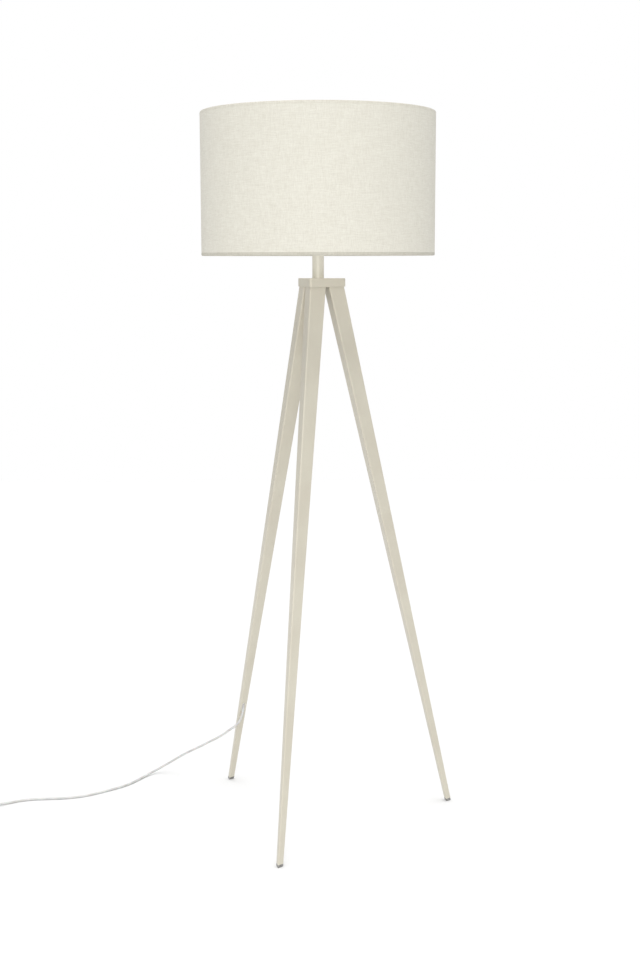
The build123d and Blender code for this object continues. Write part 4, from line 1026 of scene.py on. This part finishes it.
pin_finish = nickel.copy()
pin_finish.name = "sleeved_pins"
pin_tree = pin_finish.node_tree
pin_place = pin_tree.nodes.new("ShaderNodeTexCoord")
pin_apart = pin_tree.nodes.new("ShaderNodeSeparateXYZ")
pin_tree.links.new(pin_place.outputs["Object"], pin_apart.inputs["Vector"])
PIN_SLEEVE = 0.010            # length of the moulded sleeve on each pin
bare = calc(pin_tree, "GREATER_THAN", pin_apart.outputs["X"], plug_front + PIN_SLEEVE)
pin_shader = pin_tree.nodes["Principled BSDF"]
pin_tones = pin_tree.nodes.new("ShaderNodeMix")
pin_tones.data_type = "RGBA"
pin_tones.inputs["A"].default_value = tint(230, 228, 222)
pin_tree.links.new(bare, pin_tones.inputs["Factor"])
pin_tree.links.new(pin_shader.inputs["Base Color"].links[0].from_socket, pin_tones.inputs["B"])
pin_tree.links.new(pin_tones.outputs["Result"], pin_shader.inputs["Base Color"])
pin_tree.links.new(bare, pin_shader.inputs["Metallic"])
dress(pin_finish, "plug_pins")

# ---- Tie ------------------------------------------------------------------------------------
# A narrow hook-and-loop strap round the coiled lead, its end lapped over itself.
strap_cloth = grained_finish(
    "strap_cloth", light=tint(232, 231, 227), dark=tint(206, 204, 198),
    patch=0.0012, grain=0.0004, relief=0.0003, roughness=0.95, spread=0.03,
)
tie_low, tie_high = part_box("coil_tie")
TIE_ANGLE = radians(-15)
TIE_WIDTH = 0.012
TIE_THICKNESS = 0.0006
TIE_HALF_LENGTH = 0.0088      # along the coil's radius, to the middle of the strap
TIE_LAP = 0.011
TIE_CORNER = 0.0024           # rounding where the strap turns down the coil's sides
TIE_DIP, TIE_LIFT = 0.0001, 0.0003           # sag on top of the coil, and rise of the free end
COIL_MIDDLE = 0.030           # radius of the coil's middle turn


def strap_line():
    """The strap's middle line in its own plane: once round the coil's section, with its end lapped
    over its start on top of the coil."""
    half_height = (tie_high[2] - tie_low[2]) / 2 - TIE_THICKNESS / 2
    half_run = TIE_HALF_LENGTH - TIE_CORNER
    half_rise = half_height - TIE_CORNER
    line = [(-half_run, half_height - TIE_DIP), (0.0, half_height - TIE_DIP), (half_run, half_height)]
    for quarter, (x, z) in enumerate([(1, 1), (1, -1), (-1, -1), (-1, 1)]):
        for step in range(1, 7):
            angle = pi / 2 - radians(quarter * 90 + step * 15)
            line.append((x * half_run + TIE_CORNER * cos(angle), z * half_rise + TIE_CORNER * sin(angle)))
    lapped_height = half_height + 1.15 * TIE_THICKNESS
    line[-2:] = [(-half_run - 0.0010, half_height - 0.00005), (-half_run, half_height + 0.7 * TIE_THICKNESS)]
    for share in (0.2, 0.5, 0.8, 1.0):
        line.append((-half_run + TIE_LAP * share, lapped_height + TIE_LIFT * share * share))
    return line


def strap():
    """The strap itself, swept along its line across its width."""
    line = strap_line()
    mesh = bpy.data.meshes.new("coil_strap")
    shape = bmesh.new()
    radial = Vector((cos(TIE_ANGLE), sin(TIE_ANGLE), 0))
    along = Vector((-sin(TIE_ANGLE), cos(TIE_ANGLE), 0))
    centre = Vector((*COIL_CENTRE, (tie_low[2] + tie_high[2]) / 2)) + radial * COIL_MIDDLE
    rows = []
    for x, z in line:
        rows.append([
            shape.verts.new(centre + radial * x + Vector((0, 0, z)) + along * (share * TIE_WIDTH))
            for share in (-0.5, -0.25, 0.0, 0.25, 0.5)
        ])
    for one, other in zip(rows, rows[1:]):
        for place in range(4):
            face = shape.faces.new((one[place], other[place], other[place + 1], one[place + 1]))
            face.smooth = True
    shape.normal_update()
    shape.to_mesh(mesh)
    shape.free()
    mesh.materials.append(strap_cloth)
    piece = placed("coil_strap", mesh)
    thickened(piece, TIE_THICKNESS, offset=0.0)
    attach(piece, "lamp")
    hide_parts("coil_tie")
    return piece


coil_strap = strap()

# ---- Floor, light and camera ----------------------------------------------------------------
# A plain pale floor, one soft light in front, a wide soft light from the ceiling and a white studio
# all round. The camera stands 3.1 m in front of the lamp, a little below its shade.
FLOOR_HALF = 5.0
floor_mesh = bpy.data.meshes.new("floor")
floor_corners = [(x * FLOOR_HALF, y * FLOOR_HALF, 0) for x, y in ((-1, -1), (1, -1), (1, 1), (-1, 1))]
floor_mesh.from_pydata(floor_corners, [], [(0, 1, 2, 3)])
floor_paint = bpy.data.materials.new("floor_paint")
floor_paint.use_nodes = True
floor_shader = floor_paint.node_tree.nodes["Principled BSDF"]
floor_shader.inputs["Base Color"].default_value = (0.8, 0.8, 0.8, 1.0)
floor_shader.inputs["Roughness"].default_value = 0.9
floor_shader.inputs["Specular IOR Level"].default_value = 0.0
floor_mesh.materials.append(floor_paint)
floor = placed("floor", floor_mesh)


def soft_light(name, size, power, place, aim):
    """A square soft light at a place, turned to its aim."""
    light = bpy.data.lights.new(name, "AREA")
    light.shape = "SQUARE"
    light.size = size
    light.energy = power
    holder = placed(name, light)
    holder.location = place
    holder.rotation_euler = (Vector(aim) - Vector(place)).to_track_quat("-Z", "Y").to_euler()


soft_light("front_light", size=1.6, power=58.0, place=(-0.2, -4.2, 1.6), aim=(0.0, 0.0, 1.0))
ceiling = bpy.data.lights.new("ceiling_light", "SUN")
ceiling.energy = 2.25
ceiling.angle = radians(90)
placed("ceiling_light", ceiling)

world = bpy.data.worlds.new("studio")
world.use_nodes = True
world_nodes, world_links = world.node_tree.nodes, world.node_tree.links
glow = world_nodes["Background"]
glow.inputs["Color"].default_value = (1.0, 1.0, 1.0, 1.0)
glow.inputs["Strength"].default_value = 0.54
backdrop = world_nodes.new("ShaderNodeBackground")
backdrop.inputs["Color"].default_value = (1.0, 1.0, 1.0, 1.0)
seen = world_nodes.new("ShaderNodeLightPath")
choice = world_nodes.new("ShaderNodeMixShader")
world_links.new(seen.outputs["Is Camera Ray"], choice.inputs[0])
world_links.new(glow.outputs["Background"], choice.inputs[1])
world_links.new(backdrop.outputs["Background"], choice.inputs[2])
world_links.new(choice.outputs["Shader"], world_nodes["World Output"].inputs["Surface"])
bpy.context.scene.world = world
bpy.context.scene.view_settings.view_transform = "Standard"

CAMERA_PLACE = Vector((0.0, -3.1483, 1.246))
CAMERA_DOWN, CAMERA_YAW, CAMERA_ROLL = 0.1509, 0.0010, -0.0020
lens = bpy.data.cameras.new("camera")
lens.lens = 54.26
lens.sensor_width = 36.0
camera = placed("camera", lens)
ahead = Vector((
    sin(CAMERA_YAW) * cos(CAMERA_DOWN),
    cos(CAMERA_YAW) * cos(CAMERA_DOWN),
    -sin(CAMERA_DOWN),
))
level_right = Vector((cos(CAMERA_YAW), -sin(CAMERA_YAW), 0.0))
level_up = level_right.cross(ahead)
right = cos(CAMERA_ROLL) * level_right + sin(CAMERA_ROLL) * level_up
upwards = cos(CAMERA_ROLL) * level_up - sin(CAMERA_ROLL) * level_right
turn = Matrix((right, upwards, -ahead)).transposed().to_4x4()
camera.matrix_world = Matrix.Translation(CAMERA_PLACE) @ turn
bpy.context.scene.camera = camera
